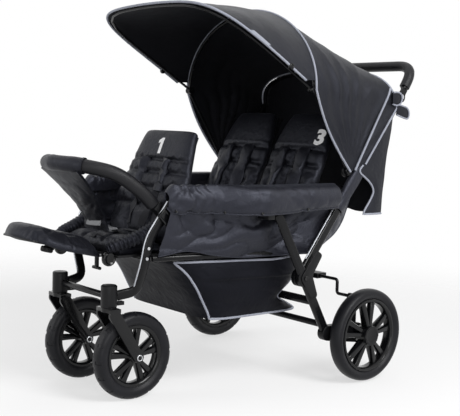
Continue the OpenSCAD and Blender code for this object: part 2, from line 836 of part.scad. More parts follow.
module canopy_clamps() {
    clamp_x = hoop_x - hoop_r - gap - clamp_t;
    color(black_plastic) for (side = [1, -1]) sided(side) difference() {
        union() {
            x_bar(clamp_x + clamp_t / 2, canopy_pivot_y, canopy_pivot_z, eye_r, clamp_t);
            x_bar((clamp_x + hoop_x + hoop_r) / 2, canopy_pivot_y, canopy_pivot_z, pin_r, hoop_x + hoop_r - clamp_x);
            translate([clamp_x, canopy_pivot_y, canopy_pivot_z - eye_r])
                cube([clamp_t, canopy_pivot_gap + tube_w / 2, 2 * eye_r]);
        }
        along([upright_x, fold_y, fold_z], [upright_x, hinge_y, hinge_z])
            linear_extrude(upright_len) oval(tube_t + 2 * gap, tube_w + 2 * gap);
    }
}

// Angle round the arch, and share of the way down the skirt: s is 1 and -1 at the pivots, 0 at the top
function arch_angle(s) = 90 * (1 - min(1, abs(s) / canopy_arch_share));
function skirt(s) = max(0, (abs(s) - canopy_arch_share) / (1 - canopy_arch_share));

function hoop_point(s, inset) =
    let (a = arch_angle(s), k = skirt(s))
    [sign(s) * (hoop_half - inset) * cos(a),
     mix(hoop_y, canopy_pivot_y, k),
     mix(visor_hinge_z, canopy_pivot_z, k) + (hoop_top_z - visor_hinge_z - inset) * sin(a)];

// Distance from the middle to a rounded-square outline of half size 1, in direction a
function square_r(a, power) = pow(pow(cos(a), power) + pow(sin(a), power), -1 / power);

function bow_point(s, half, rise) =
    let (a = arch_angle(s), q = square_r(a, bow_corner_power))
    [sign(s) * half * q * cos(a), upright_y(bow_z) - bow_lean * sin(a), bow_z + rise * q * sin(a)];

// Rear edge of the canopy cloth: over the bow, then down the uprights
function rear_edge(s) =
    let (k = skirt(s), z = mix(bow_z, canopy_pivot_z + skirt_rise, k))
    k > 0 ? [sign(s) * cloth_x, upright_y(z), z]
          : bow_point(s, cloth_x, bow_rise + bow_r + cloth_t + 2 * gap);

// Front edge of the visor, at the same angle as the hoop point that it hangs from
function visor_point(s, side_in, front_in) =
    let (a = arch_angle(s), q = square_r(a, visor_corner_power), reach = q * sin(a))
    [sign(s) * (hoop_half - side_in) * q * cos(a),
     hoop_y - (visor_reach - front_in) * reach,
     visor_hinge_z + visor_rise * mix(sin(a), reach, visor_edge_share) - front_in * reach];

module main_hoop() {
    route = [for (i = [0:hoop_steps]) hoop_point(1 - 2 * i / hoop_steps, hoop_in)];
    color(black_tube) difference() {
        union() {
            sweep(route, round_section(2 * hoop_r, tube_sides), hoop_side);
            for (side = [1, -1]) sided(side) {
                x_bar(hoop_x, canopy_pivot_y, canopy_pivot_z, hoop_eye_r, 2 * hoop_r);
                x_bar(hoop_x, hoop_y, visor_hinge_z, hoop_eye_r, 2 * hoop_r);
                x_bar((hoop_x + visor_x) / 2, hoop_y, visor_hinge_z, visor_pin_r, hoop_x - visor_x + 2 * visor_r);
            }
        }
        for (side = [1, -1]) sided(side)
            x_bar(hoop_x, canopy_pivot_y, canopy_pivot_z, pin_r + fit, 2 * hoop_r + over);
    }
}

module visor_hoop() {
    route = [for (i = [0:hoop_steps])
        let (s = (1 - 2 * i / hoop_steps) * canopy_arch_share)
        visor_point(s, hoop_half - visor_x, visor_front_in)];
    color(black_tube) difference() {
        union() {
            sweep(route, round_section(2 * visor_r, tube_sides), visor_side);
            for (side = [1, -1]) sided(side) x_bar(visor_x, hoop_y, visor_hinge_z, hoop_eye_r, 2 * visor_r);
        }
        for (side = [1, -1]) sided(side)
            x_bar(visor_x, hoop_y, visor_hinge_z, visor_pin_r + fit, 4 * visor_r);
    }
}

// Point moved in by a cloth's thickness, towards the middle of the seats
function inwards(p) = p + unit(canopy_middle - p) * cloth_t;

module canopy_cloth() {
    outer = function(u, v)
        let (s = 2 * u - 1)
        mix(hoop_point(s, 0), rear_edge(s), v) + [0, 0, canopy_crown * hump(v) * sin(arch_angle(s))];
    color(cloth_black) two_faced(outer, function(u, v) inwards(outer(u, v)), 30, 6);
}

module visor_cloth() {
    outer = function(u, v)
        let (s = (2 * u - 1) * canopy_arch_share * cloth_from_share,
             a = visor_point(s, 0, 0), b = hoop_point(s, 0))
        mix(a, b, v * (1 - gap / norm(b - a))) + [0, 0, visor_crown * hump(v) * sin(arch_angle(s))];
    color(cloth_black) two_faced(outer, function(u, v) inwards(outer(u, v)), 28, 6);
}

module rear_bow() {
    route = [for (i = [0:hoop_steps])
        bow_point((1 - 2 * i / hoop_steps) * canopy_arch_share, bow_x, bow_rise)];
    color(black_tube) {
        sweep(route, round_section(2 * bow_r, tube_sides), bow_side);
        for (side = [1, -1]) sided(side)
            x_bar(bow_x + (bow_r + bow_peg - gap) / 2, upright_y(bow_z), bow_z, bow_peg_r, bow_r + bow_peg - gap);
    }
}

module rear_curtain() {
    middle = function(u, v)
        let (s = (1 - 2 * u) * canopy_arch_share * cloth_from_share,
             top = bow_point(s, bow_x - curtain_in, bow_rise - curtain_in))
        [top[0], top[1] - curtain_lean * (1 - v) + curtain_wave * (1 - v) * sin(360 * curtain_waves * u),
         mix(curtain_foot_z, top[2], v)];
    color(cloth_black) two_faced(function(u, v) middle(u, v) + [0, curtain_t / 2, 0],
        function(u, v) middle(u, v) - [0, curtain_t / 2, 0], 30, 5);
}

// Side panels: v is 0 at the foot and 1 over the arm rail
function panel_x(y, v) =
    let (u = (y - panel_front_y) / (panel_rear_y - panel_front_y))
    mix(seat_rail_x(y), arm_rail_x(y), v) + rail_r + panel_clear + panel_t
        + panel_puff * (1 - pow(u, 4)) * abs(sin(180 * (v < panel_band_share
            ? v / panel_band_share : (v - panel_band_share) / (1 - panel_band_share))));

module side_panel() {
    outer = function(u, v)
        let (y = mix(panel_front_y, panel_rear_y, u))
        [panel_x(y, v), y, mix(panel_foot_z, panel_top_z, v)];
    color(cloth_black) two_faced(outer, function(u, v) outer(u, v) - [panel_t, 0, 0], 16, 10);
}

// Basket: ring at height share h, inset by a wall's thickness
function basket_ring(h, inset) = [for (k = [0:basket_sides - 1])
    let (a = 360 * (k + 0.5) / basket_sides,
         front = mix(basket_front_floor_y, basket_front_top_y, h) + inset,
         rear = mix(basket_rear_floor_y, basket_rear_top_y, h) - inset,
         y = (front + rear) / 2 + (rear - front) / 2 * sign(sin(a)) * pow(abs(sin(a)), basket_corner_share),
         half = mix(basket_floor_half, seat_rail_x(y), h) - inset)
    [half * sign(cos(a)) * pow(abs(cos(a)), basket_corner_share), y,
     mix(basket_floor_z + (inset > 0 ? basket_wall : 0), basket_top_z, h)]];

module basket() {
    color(cloth_black) skin([basket_ring(0, 0), basket_ring(basket_mid_share, 0), basket_ring(1, 0),
        basket_ring(1, basket_wall), basket_ring(basket_mid_share, basket_wall), basket_ring(0, basket_wall)]);
}

// Seats

module tray(front_y, rear_y, front_half, rear_half) {
    translate([0, 0, tray_z]) linear_extrude(tray_t)
        polygon([[-front_half, front_y], [front_half, front_y], [rear_half, rear_y], [-rear_half, rear_y]]);
}

// Pair of lugs that hold a hinge pin on either side of a barrel
module hinge_lugs(x, y, half) {
    for (s = [-1, 1]) translate([x + s * (half + gap + lug_t / 2), y, (tray_z + back_hinge_z + barrel_r) / 2])
        cube([lug_t, 2 * barrel_r, back_hinge_z + barrel_r - tray_z], center = true);
}

module front_seat_tray() {
    color(black_plastic) difference() {
        union() {
            tray(front_tray_y, front_tray_end_y, front_seat_half, front_seat_half);
            hinge_lugs(0, front_hinge_y, front_barrel_half);
            for (s = [-1, 1]) {
                translate([s * (footrest_barrel_half + gap + lug_t / 2), front_tray_y - footrest_hinge_gap / 2,
                    footrest_hinge_z]) cube([lug_t, footrest_hinge_gap + 2 * barrel_r, 2 * barrel_r], center = true);
                translate([s * (lever_t / 2 + gap + lug_t / 2), lever_y, lever_axis_z])
                    cube([lug_t, lever_t, 2 * (tray_z - lever_axis_z) + over], center = true);
            }
        }
        x_bar(0, front_hinge_y, back_hinge_z, hinge_pin_r + fit, 3 * front_seat_half);
        x_bar(0, footrest_hinge_y, footrest_hinge_z, hinge_pin_r + fit, 2 * front_seat_half);
        x_bar(0, lever_y, lever_axis_z, lever_pin_r + fit, front_seat_half);
    }
}

module rear_seat_tray() {
    edge = rail_r + 2 * gap;
    color(black_plastic) difference() {
        union() {
            tray(rear_tray_y, rear_tray_end_y, seat_rail_x(rear_tray_y) - edge, seat_rail_x(rear_tray_end_y) - edge);
            for (s = [-1, 1]) hinge_lugs(s * rear_back_mid, rear_hinge_y, rear_barrel_half);
        }
        x_bar(0, rear_hinge_y, back_hinge_z, hinge_pin_r + fit, 2 * arm_rear_x);
    }
}

// Crown of a pad over its rim, with drawn-in seams between its columns
function crown(u, v, columns) =
    let (edge = pow(flat_hump(u, 4) * flat_hump(v, 4), 0.5), seam = 1 - pow(abs(cos(180 * columns * u)), 8))
    pad_rim_share + (1 - pad_rim_share) * edge * mix(1 - tuft_share, 1, seam);

// Seat pad between two sides given along its length
module seat_pad(front_y, rear_y, inner, outer, columns) {
    base = tray_z + tray_t + gap;
    place = function(u, v, z)
        let (y = mix(front_y, rear_y, v), a = inner(y), b = outer(y), w = (b - a) * pad_waist_share * hump(v))
        [mix(a + w, b - w, u), y, z];
    color(cloth_black) two_faced(function(u, v) place(u, v, base + pad_t * crown(u, v, columns)),
        function(u, v) place(u, v, base), 14, 10);
}

module front_seat_pad() {
    half = front_seat_half - gap;
    seat_pad(front_tray_y + barrel_r + gap, front_hinge_y - seat_pad_tail, function(y) -half, function(y) half, 3);
}

function rear_pad_outer(y) = seat_rail_x(y) - rail_r - 4 * gap;

module rear_seat_pad() {
    seat_pad(rear_tray_y, rear_hinge_y - seat_pad_tail, function(y) rear_pad_gap, function(y) rear_pad_outer(y), 3);
}

module seat_buckles() {
    z = tray_z + tray_t + pad_t + 2 * gap;
    rear_x = (rear_pad_gap + rear_pad_outer(rear_buckle_y)) / 2;
    color(black_plastic) for (p = [[0, front_buckle_y], [rear_x, rear_buckle_y], [-rear_x, rear_buckle_y]])
        translate([p[0], p[1], z]) linear_extrude(buckle_t) {
            square([buckle_w, buckle_l - 2 * buckle_r], center = true);
            square([buckle_w - 2 * buckle_r, buckle_l], center = true);
            for (x = [-1, 1]) for (y = [-1, 1])
                translate([x * (buckle_w / 2 - buckle_r), y * (buckle_l / 2 - buckle_r)]) circle(r = buckle_r);
        }
}

// Backrests: local y runs up the back from its hinge and local z faces the child

module on_back(x, y, lean) {
    multmatrix([[1, 0, 0, x], [0, sin(lean), -cos(lean), y], [0, cos(lean), sin(lean), back_hinge_z], [0, 0, 0, 1]])
        children();
}

module hinge_barrel(half) {
    difference() {
        children();
        rotate([0, 90, 0]) cylinder(r = hinge_pin_r + fit, h = 2 * half + over, center = true);
    }
}

module back_board(half, len, barrel_half) {
    color(black_plastic) hinge_barrel(barrel_half) union() {
        rotate([0, 90, 0]) cylinder(r = barrel_r, h = 2 * barrel_half, center = true);
        translate([-barrel_half, 0, -barrel_r]) cube([2 * barrel_half, board_neck, board_t]);
        translate([board_edge - half, board_neck - over, -barrel_r])
            cube([2 * (half - board_edge), len - board_neck, board_t]);
    }
}

// Value of a table of shares at v, with straight runs between its entries
function shared(table, v) =
    let (k = v * (len(table) - 1), i = min(floor(k), len(table) - 2))
    mix(table[i], table[i + 1], k - i);

module back_pad(half, shares, len, columns) {
    base = board_t - barrel_r + gap;
    place = function(u, v, z)
        [(2 * u - 1) * half * shared(shares, v), mix(back_bottom_gap, len + back_top_over, v), z];
    color(cloth_black) two_faced(function(u, v) place(u, v, base + back_pad_t * crown(u, v, columns)),
        function(u, v) place(u, v, base), 12, 12);
}

module front_back_board() {
    on_back(0, front_hinge_y, front_back_lean)
        back_board(front_barrel_half + board_edge, front_back_len, front_barrel_half);
}

module front_back_pad() {
    on_back(0, front_hinge_y, front_back_lean) back_pad(front_back_half, front_back_shares, front_back_len, 3);
}

module rear_back_board() {
    on_back(rear_back_mid, rear_hinge_y, rear_back_lean) back_board(rear_back_half, rear_back_len, rear_barrel_half);
}

module rear_back_pad() {
    on_back(rear_back_mid, rear_hinge_y, rear_back_lean) back_pad(rear_back_half, rear_back_shares, rear_back_len, 3);
}

// Footrest: local y runs forward from its hinge and local z is its upper side

module on_footrest() {
    c = cos(footrest_rise);
    s = sin(footrest_rise);
    multmatrix([[-1, 0, 0, 0], [0, -c, s, footrest_hinge_y], [0, s, c, footrest_hinge_z], [0, 0, 0, 1]]) children();
}

module footrest_board() {
    color(black_plastic) on_footrest() hinge_barrel(footrest_barrel_half) union() {
        rotate([0, 90, 0]) cylinder(r = barrel_r, h = 2 * footrest_barrel_half, center = true);
        translate([-footrest_barrel_half, 0, -board_t / 2]) cube([2 * footrest_barrel_half, board_neck, board_t]);
        translate([-footrest_board_half, board_neck - over, -board_t / 2])
            cube([2 * footrest_board_half, footrest_len - board_neck - footrest_edge, board_t]);
        translate([0, footrest_len * knob_share, -knob_h]) cylinder(r = knob_r, h = knob_h);
    }
}

module footrest_pad() {
    base = board_t / 2 + gap;
    place = function(u, v, z)
        [(2 * u - 1) * footrest_half * shared(footrest_shares, v), mix(back_bottom_gap, footrest_len, v), z];
    color(cloth_black) on_footrest() two_faced(
        function(u, v) place(u, v, base + footrest_pad_t * crown(u, v, 1)),
        function(u, v) place(u, v, base), 12, 12);
}

module footrest_lever() {
    color(black_plastic) translate([0, lever_y, lever_axis_z]) {
        rotate([0, 90, 0]) cylinder(r = lever_pin_r, h = lever_t + 2 * gap + 2 * lug_t, center = true);
        rotate([0, 90, 0]) cylinder(r = lever_t / 2, h = lever_t, center = true);
        translate([-lever_t / 2, -lever_t / 2, -lever_drop]) cube([lever_t, lever_t, lever_drop]);
        translate([0, 0, -lever_drop]) rotate([0, 90, 0]) cylinder(r = lever_t / 2, h = lever_bar, center = true);
    }
}

// Bumper

bumper_dir = [0, -cos(bumper_slope), sin(bumper_slope)];
bumper_end = [bumper_end_x, bumper_end_y, bumper_end_z];
bumper_knee = bumper_end + bumper_dir * bumper_run;
bumper_route = both_sides(rounded(concat([bumper_end + bumper_dir * (socket_l - gap), bumper_knee],
    [for (q = bumper_shares) [bumper_end_x * q[0], mix(bumper_knee[1], bumper_apex_y, q[1]),
        mix(bumper_knee[2], bumper_apex_z, q[2])]],
    [[0, bumper_apex_y, bumper_apex_z]]), bumper_bend_r));

module bumper_sockets() {
    r = bumper_tube_d / 2 + socket_wall;
    color(black_plastic) for (side = [1, -1]) sided(side) difference() {
        union() {
            rod(bumper_end, bumper_end + bumper_dir * socket_l, r);
            along(bumper_end, bumper_end + bumper_dir) translate([0, -r, 0])
                cube([bracket_reach, 2 * r, socket_l]);
        }
        rod(bumper_end + bumper_dir * socket_floor, bumper_end + bumper_dir * (socket_l + over), bumper_tube_d / 2 + fit);
        front_leg(gap);
    }
}

module bumper_tube() {
    color(black_tube) {
        sweep(bumper_route, round_section(bumper_tube_d - gap, tube_sides), bumper_side);
        for (side = [1, -1]) sided(side)
            rod(bumper_end + bumper_dir * (socket_floor + gap), bumper_end + bumper_dir * (socket_l + over), bumper_tube_d / 2);
    }
}

module bumper_foam() {
    first = bumper_end + bumper_dir * (socket_l + 2 * over);
    last = [-first[0], first[1], first[2]];
    route = concat([first], [for (i = [1:len(bumper_route) - 2]) bumper_route[i]], [last]);
    color(cloth_dark) sleeve(route, round_section(bumper_foam_d, tube_sides),
        round_section(bumper_tube_d + 2 * gap, tube_sides), bumper_side);
}

upright();  // upright_left
sided(-1) upright();  // upright_right
front_leg();  // front_leg_left
sided(-1) front_leg();  // front_leg_right
arm_rail();  // arm_rail_left
sided(-1) arm_rail();  // arm_rail_right
seat_rails();
cross_tubes();
caster_housings();
frame_pins();
leg_latches();
bumper_sockets();
canopy_clamps();
rear_bow();
front_seat_tray();
rear_seat_tray();
front_seat_pad();
rear_seat_pad();  // rear_seat_pad_left
sided(-1) rear_seat_pad();  // rear_seat_pad_right
side_panel();  // side_panel_left
sided(-1) side_panel();  // side_panel_right
basket();
rear_curtain();
canopy_cloth();
seat_buckles();
rear_leg();  // rear_leg_left
sided(-1) rear_leg();  // rear_leg_right
rear_cross_tubes();
axle_shoe();  // axle_shoe_left
sided(-1) axle_shoe();  // axle_shoe_right
rear_tyre();  // rear_tyre_left
rear_rim();  // rear_rim_left
sided(-1) rear_tyre();  // rear_tyre_right
sided(-1) rear_rim();  // rear_rim_right
brake_bar();
brake_pedal();
fork();  // fork_left
sided(-1) fork();  // fork_right
front_tyre();  // front_tyre_left
front_rim();  // front_rim_left
sided(-1) front_tyre();  // front_tyre_right
sided(-1) front_rim();  // front_rim_right
swivel_lock();  // swivel_lock_left
sided(-1) swivel_lock();  // swivel_lock_right
handle_tube();
handle_grip();
main_hoop();
visor_hoop();
visor_cloth();
bumper_tube();
bumper_foam();
front_back_board();
front_back_pad();
rear_back_board();  // rear_back_board_left
rear_back_pad();  // rear_back_pad_left
sided(-1) rear_back_board();  // rear_back_board_right
sided(-1) rear_back_pad();  // rear_back_pad_right
footrest_board();
footrest_pad();
footrest_lever();
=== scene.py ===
import bpy
import json
import numpy as np
from functools import partial
from math import atan2, cos, exp, hypot, pi, radians, sin, sqrt, tan
from mathutils import Matrix, Vector, noise

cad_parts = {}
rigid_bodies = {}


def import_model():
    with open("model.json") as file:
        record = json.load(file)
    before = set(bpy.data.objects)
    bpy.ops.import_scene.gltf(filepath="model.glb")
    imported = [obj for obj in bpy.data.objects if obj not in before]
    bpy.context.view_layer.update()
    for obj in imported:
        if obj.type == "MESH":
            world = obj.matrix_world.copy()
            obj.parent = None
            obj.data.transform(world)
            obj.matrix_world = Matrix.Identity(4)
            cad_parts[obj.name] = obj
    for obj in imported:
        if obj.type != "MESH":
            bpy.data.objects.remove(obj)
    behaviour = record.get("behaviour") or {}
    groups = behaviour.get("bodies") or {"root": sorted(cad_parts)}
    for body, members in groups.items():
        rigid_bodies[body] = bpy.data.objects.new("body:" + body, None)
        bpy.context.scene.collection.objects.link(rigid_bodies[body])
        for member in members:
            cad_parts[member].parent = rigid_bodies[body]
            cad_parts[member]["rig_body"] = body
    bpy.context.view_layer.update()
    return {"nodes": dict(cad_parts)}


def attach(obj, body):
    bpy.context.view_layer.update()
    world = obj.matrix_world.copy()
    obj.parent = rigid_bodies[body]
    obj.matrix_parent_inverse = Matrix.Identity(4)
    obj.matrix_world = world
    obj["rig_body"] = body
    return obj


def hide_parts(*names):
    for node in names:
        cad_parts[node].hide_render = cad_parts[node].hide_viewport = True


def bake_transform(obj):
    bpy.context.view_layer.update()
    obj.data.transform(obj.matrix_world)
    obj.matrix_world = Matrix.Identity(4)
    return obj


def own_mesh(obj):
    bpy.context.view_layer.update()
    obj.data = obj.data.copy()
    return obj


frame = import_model()
nodes = frame["nodes"]
scene = bpy.context.scene
bodyOf = {name: node["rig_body"] for name, node in nodes.items()}
sides = {"Left": 1, "Right": -1}
arms = {"A": -1, "B": 1}
print("frame loaded:", len(nodes), "nodes")


# Small tools

meshCut = {
    "merge": 0.00001, "spinMerge": 0.00004, "flatAngle": 0.4, "facingShare": 0.99, "tiny": 1e-9,
    "tubeAngle": 50, "smallAngle": 35, "clothAngle": 60, "bevelSteps": 3, "tubeSteps": 4, "bendSteps": 8,
    "tapeTurns": 12, "tapeSidePower": 0.3, "tapeFacePower": 0.7,
    "studSides": 28, "softShare": 0.3, "dishRimShare": 0.28,
}


def mix(a, b, t):
    return a + (b - a) * t


def clamp(t, low=0.0, high=1.0):
    return max(low, min(high, t))


def smooth(t):
    t = clamp(t)
    return t * t * (3 - 2 * t)


# Smooth step from 0 at the start to 1 at the end
def eased(t, start, end):
    return smooth((t - start) / (end - start))


def signed(s):
    return -1.0 if s < 0 else 1.0


def powered(x, power):
    return signed(x) * abs(x) ** power


def humped(t):
    return sin(pi * t)


# Slack of a cloth between two held edges: where the hump starts and ends, and its power
def slackAt(row, t):
    low, high, power = row
    return humped(clamp(mix(low, high, t))) ** power


def bump(t, width):
    return exp(-(t / width) ** 2)


# Share of a table at v, with a smooth line through its entries
def shared(table, v):
    k = clamp(v) * (len(table) - 1)
    i = min(int(k), len(table) - 2)
    t = k - i
    a, b = table[max(i - 1, 0)], table[i]
    c, d = table[i + 1], table[min(i + 2, len(table) - 1)]
    return 0.5 * (2 * b + (c - a) * t + (2 * a - 5 * b + 4 * c - d) * t * t
                  + (3 * b - a - 3 * c + d) * t ** 3)


# Smooth curve through a row of points
def threaded(points, v):
    return tuple(shared([p[k] for p in points], v) for k in range(len(points[0])))


# Straight lines through rows of (at, value)
def between(table, at):
    if at <= table[0][0]:
        return table[0][1]
    for (a, va), (b, vb) in zip(table, table[1:]):
        if at <= b:
            return mix(va, vb, (at - a) / (b - a))
    return table[-1][1]


def sampled(point, steps):
    return [point(k / steps) for k in range(steps + 1)]


def mirrored(side, place):
    return Vector((side * place[0], place[1], place[2]))


def bothSides(points):
    return list(points) + [mirrored(-1, p) for p in reversed(points[:-1])]


# Even noise over a sheet: depth, two scales and a seed
def ripple(field, a, b, shift=0.0):
    depth, scaleA, scaleB, seed = field
    return depth * noise.noise(Vector((scaleA * a, scaleB * b, seed + shift)))


# Puffed folds over a sheet: depth, the run of each direction and a seed
def folds(field, a, b, shift=0.0, lift=0.0):
    depth, runA, runB, start, crossA, crossB, seed = field
    spot = Vector((runA * a + runB * b + start, crossA * a + crossB * b + lift, seed + shift))
    return depth * (2 * sqrt(abs(noise.noise(spot)) + foldFloor) - foldDrop)


foldFloor = 0.004
foldDrop = 0.8


def active():
    return bpy.context.view_layer.objects.active


def onlyActive(obj=None):
    for other in bpy.context.view_layer.objects:
        other.select_set(False)
    if obj:
        obj.select_set(True)
        bpy.context.view_layer.objects.active = obj


# Runs mesh steps on the whole of a piece
def edited(obj, **steps):
    onlyActive(obj)
    bpy.ops.object.mode_set(mode="EDIT")
    bpy.ops.mesh.select_all(action="SELECT")
    for step, settings in steps.items():
        getattr(bpy.ops.mesh, step)(**settings)
    bpy.ops.object.mode_set(mode="OBJECT")
    return obj


def outward(obj):
    return edited(obj, normals_make_consistent=dict(inside=False))


# Insets the picked faces, each time by a width and a depth
def pressed(piece, *insets):
    onlyActive(piece)
    bpy.ops.object.mode_set(mode="EDIT")
    bpy.ops.mesh.select_mode(type="FACE")
    for width, depth in insets:
        bpy.ops.mesh.inset(thickness=width, depth=depth)
    bpy.ops.object.mode_set(mode="OBJECT")


def insetFaces(piece, axis, *insets):
    for face in piece.data.polygons:
        face.select = face.normal[axis] > meshCut["facingShare"]
    pressed(piece, *insets)


def softened(piece, offset):
    edited(piece, bevel=dict(offset=offset, segments=meshCut["bevelSteps"], affect="EDGES"),
           select_all=dict(action="DESELECT"))


# New primitive with its size and place taken into its mesh
def added(add, **settings):
    onlyActive()
    add(**settings)
    bpy.ops.object.transform_apply()
    return active()


def applied(obj, kind, **settings):
    onlyActive(obj)
    modifier = obj.modifiers.new(kind.title(), kind)
    for key, value in settings.items():
        setattr(modifier, key, value)
    bpy.ops.object.modifier_apply(modifier=modifier.name)
    return obj


def bevelled(obj, width, angle, steps=meshCut["bevelSteps"]):
    return applied(obj, "BEVEL", width=width, segments=steps, limit_method="ANGLE",
                   angle_limit=radians(angle))


def shaded(obj, angle):
    onlyActive(obj)
    bpy.ops.object.shade_smooth_by_angle(angle=radians(angle))
    return obj


def coat(obj, *names):
    obj.data.materials.clear()
    for name in names:
        obj.data.materials.append(finishes[name])
    return obj


def placed(obj, body, slotName, *stoodFor):
    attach(obj, body)
    if stoodFor:
        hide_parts(*stoodFor)
    return obj


# Moves a piece modelled at the origin to where it sits
def settled(piece, name, move, finish):
    piece.data.transform(move)
    piece.name = name
    return coat(shaded(piece, meshCut["smallAngle"]), finish)


def linked(name, points, faces):
    mesh = bpy.data.meshes.new(name)
    mesh.from_pydata([tuple(p) for p in points], [], faces)
    obj = bpy.data.objects.new(name, mesh)
    scene.collection.objects.link(obj)
    return obj


def joined(name, parts):
    onlyActive(parts[0])
    for part in parts[1:]:
        part.select_set(True)
    bpy.ops.object.join()
    whole = active()
    whole.name = name
    whole.data.name = name
    return whole


def gridSpots(columns, rows):
    return [(i, j) for i in range(columns + 1) for j in range(rows + 1)]


def gridFaces(columns, rows, number):
    return [(number[i, j], number[i + 1, j], number[i + 1, j + 1], number[i, j + 1])
            for i in range(columns) for j in range(rows)]


# Faces round a row of rings of points, closed at the end and, if wanted, at the start
def ringFaces(rings, count, first=0, startCap=True):
    rows = [[first + j * count + k for k in range(count)] for j in range(rings)]
    faces = [(low[k], low[(k + 1) % count], high[(k + 1) % count], high[k])
             for low, high in zip(rows, rows[1:]) for k in range(count)]
    if startCap:
        faces.append(tuple(reversed(rows[0])))
    return faces + [tuple(rows[-1])]


# Gives each corner its place on the flat cut, in metres
def laidCut(obj, spots, columns, rows, cut):
    layer = obj.data.uv_layers.new(name="cut")
    for loop in obj.data.loops:
        i, j = spots[loop.vertex_index]
        layer.data[loop.index].uv = (i / columns * cut[0], j / rows * cut[1])


# A sheet laid out as a grid, with its cut in metres as its UV map
def gridSheet(name, point, grid, cut):
    columns, rows = grid
    spots = gridSpots(columns, rows)
    number = {spot: k for k, spot in enumerate(spots)}
    sheet = linked(name, [point(i / columns, j / rows) for i, j in spots], gridFaces(columns, rows, number))
    laidCut(sheet, spots, columns, rows, cut)
    return sheet


# Turns a cloth outwards from a middle, gives it its thickness and a lining
def linedCloth(obj, middle, thick, outer, inner):
    away = sum((f.center - Vector(middle)).dot(f.normal) * f.area for f in obj.data.polygons)
    if away < 0:
        edited(obj, flip_normals={})
    coat(obj, outer, inner)
    applied(obj, "SOLIDIFY", thickness=thick, offset=-1, material_offset=1, use_even_offset=True)
    return shaded(obj, meshCut["clothAngle"])


# Round bar along a row of points
def tube(name, points, radius, finish, steps=meshCut["tubeSteps"]):
    curve = bpy.data.curves.new(name, "CURVE")
    curve.dimensions = "3D"
    spline = curve.splines.new("POLY")
    spline.points.add(len(points) - 1)
    for spot, place in zip(spline.points, points):
        spot.co = (*place, 1)
    curve.bevel_depth = radius
    curve.bevel_resolution = steps
    curve.use_fill_caps = True
    obj = bpy.data.objects.new(name, curve)
    scene.collection.objects.link(obj)
    onlyActive(obj)
    bpy.ops.object.convert(target="MESH")
    return coat(shaded(active(), meshCut["tubeAngle"]), finish)


def headingAt(points, i):
    return (points[min(i + 1, len(points) - 1)] - points[max(i - 1, 0)]).normalized()


# Flat tape along a row of points, each with the direction that its face looks in
def ribbon(name, points, faceDirs, width, thickness, finish):
    points = [Vector(p) for p in points]
    count = meshCut["tapeTurns"]
    turns = [pi * (2 * k + 1) / count for k in range(count)]
    spots = []
    for i, place in enumerate(points):
        along = headingAt(points, i)
        side = along.cross(Vector(faceDirs[i]).normalized()).normalized() * width / 2
        out = side.cross(along).normalized() * thickness / 2
        spots += [place + side * powered(cos(t), meshCut["tapeSidePower"])
                  + out * powered(sin(t), meshCut["tapeFacePower"]) for t in turns]
    tape = outward(linked(name, spots, ringFaces(len(points), count)))
    return coat(shaded(tape, meshCut["smallAngle"]), finish)


# Route with its inner corners rounded over a reach
def rounded(points, reach, steps=meshCut["bendSteps"]):
    points = [Vector(p) for p in points]
    route = [points[0]]
    for before, corner, after in zip(points, points[1:], points[2:]):
        a = corner + (before - corner).normalized() * reach
        b = corner + (after - corner).normalized() * reach
        route += sampled(lambda t: a.lerp(corner, t).lerp(corner.lerp(b, t), t), steps)
    return route + [points[-1]]


# Line through points, spaced evenly
def evenLine(points, spacing):
    lengths = [0.0]
    for a, b in zip(points, points[1:]):
        lengths.append(lengths[-1] + (b - a).length)
    count = max(2, round(lengths[-1] / spacing))
    line, i = [], 0
    for k in range(count + 1):
        want = lengths[-1] * k / count
        while i < len(lengths) - 2 and lengths[i + 1] < want:
            i += 1
        t = (want - lengths[i]) / max(lengths[i + 1] - lengths[i], meshCut["tiny"])
        line.append(points[i].lerp(points[i + 1], t))
    return line


def relaxed(points, rounds):
    for _ in range(rounds):
        inner = [a.lerp(c, 0.5).lerp(b, 0.5) for a, b, c in zip(points, points[1:], points[2:])]
        points = [points[0], *inner, points[-1]]
    return points


# Round stud turned about its axis, modelled at the origin with a dished cap and then set in place
def stud(name, place, direction, size, finish, dishShare=0.25):
    radius, depth = size
    piece = added(bpy.ops.mesh.primitive_cylinder_add, vertices=meshCut["studSides"], radius=radius,
                  depth=depth, location=(0, 0, depth / 2))
    softened(piece, min(depth, radius) * meshCut["softShare"])
    insetFaces(piece, 2, (radius * meshCut["dishRimShare"], -depth * dishShare))
    turn = Vector((0, 0, 1)).rotation_difference(Vector(direction)).to_matrix().to_4x4()
    return settled(piece, name, Matrix.Translation(place) @ turn, finish)


# Materials

surfaceLook = {
    "dyeScale": 9, "dyeDetail": 5, "glossScale": 34, "creaseScale": 42, "creaseDetail": 3, "creaseBend": 0.8,
    "weaveDepth": 0.00012, "weaveStrength": 0.6, "waveScale": 0.314, "waveBend": 0.4,
    "sheenRough": 0.45, "sheenTint": (0.75, 0.8, 0.95, 1), "shineTint": (0.78, 0.82, 1, 1),
    "mottleScale": 14, "hardGlossScale": 60, "grainDetail": 2, "clearRough": 0.12, "rampShares": (0.3, 0.7),
}


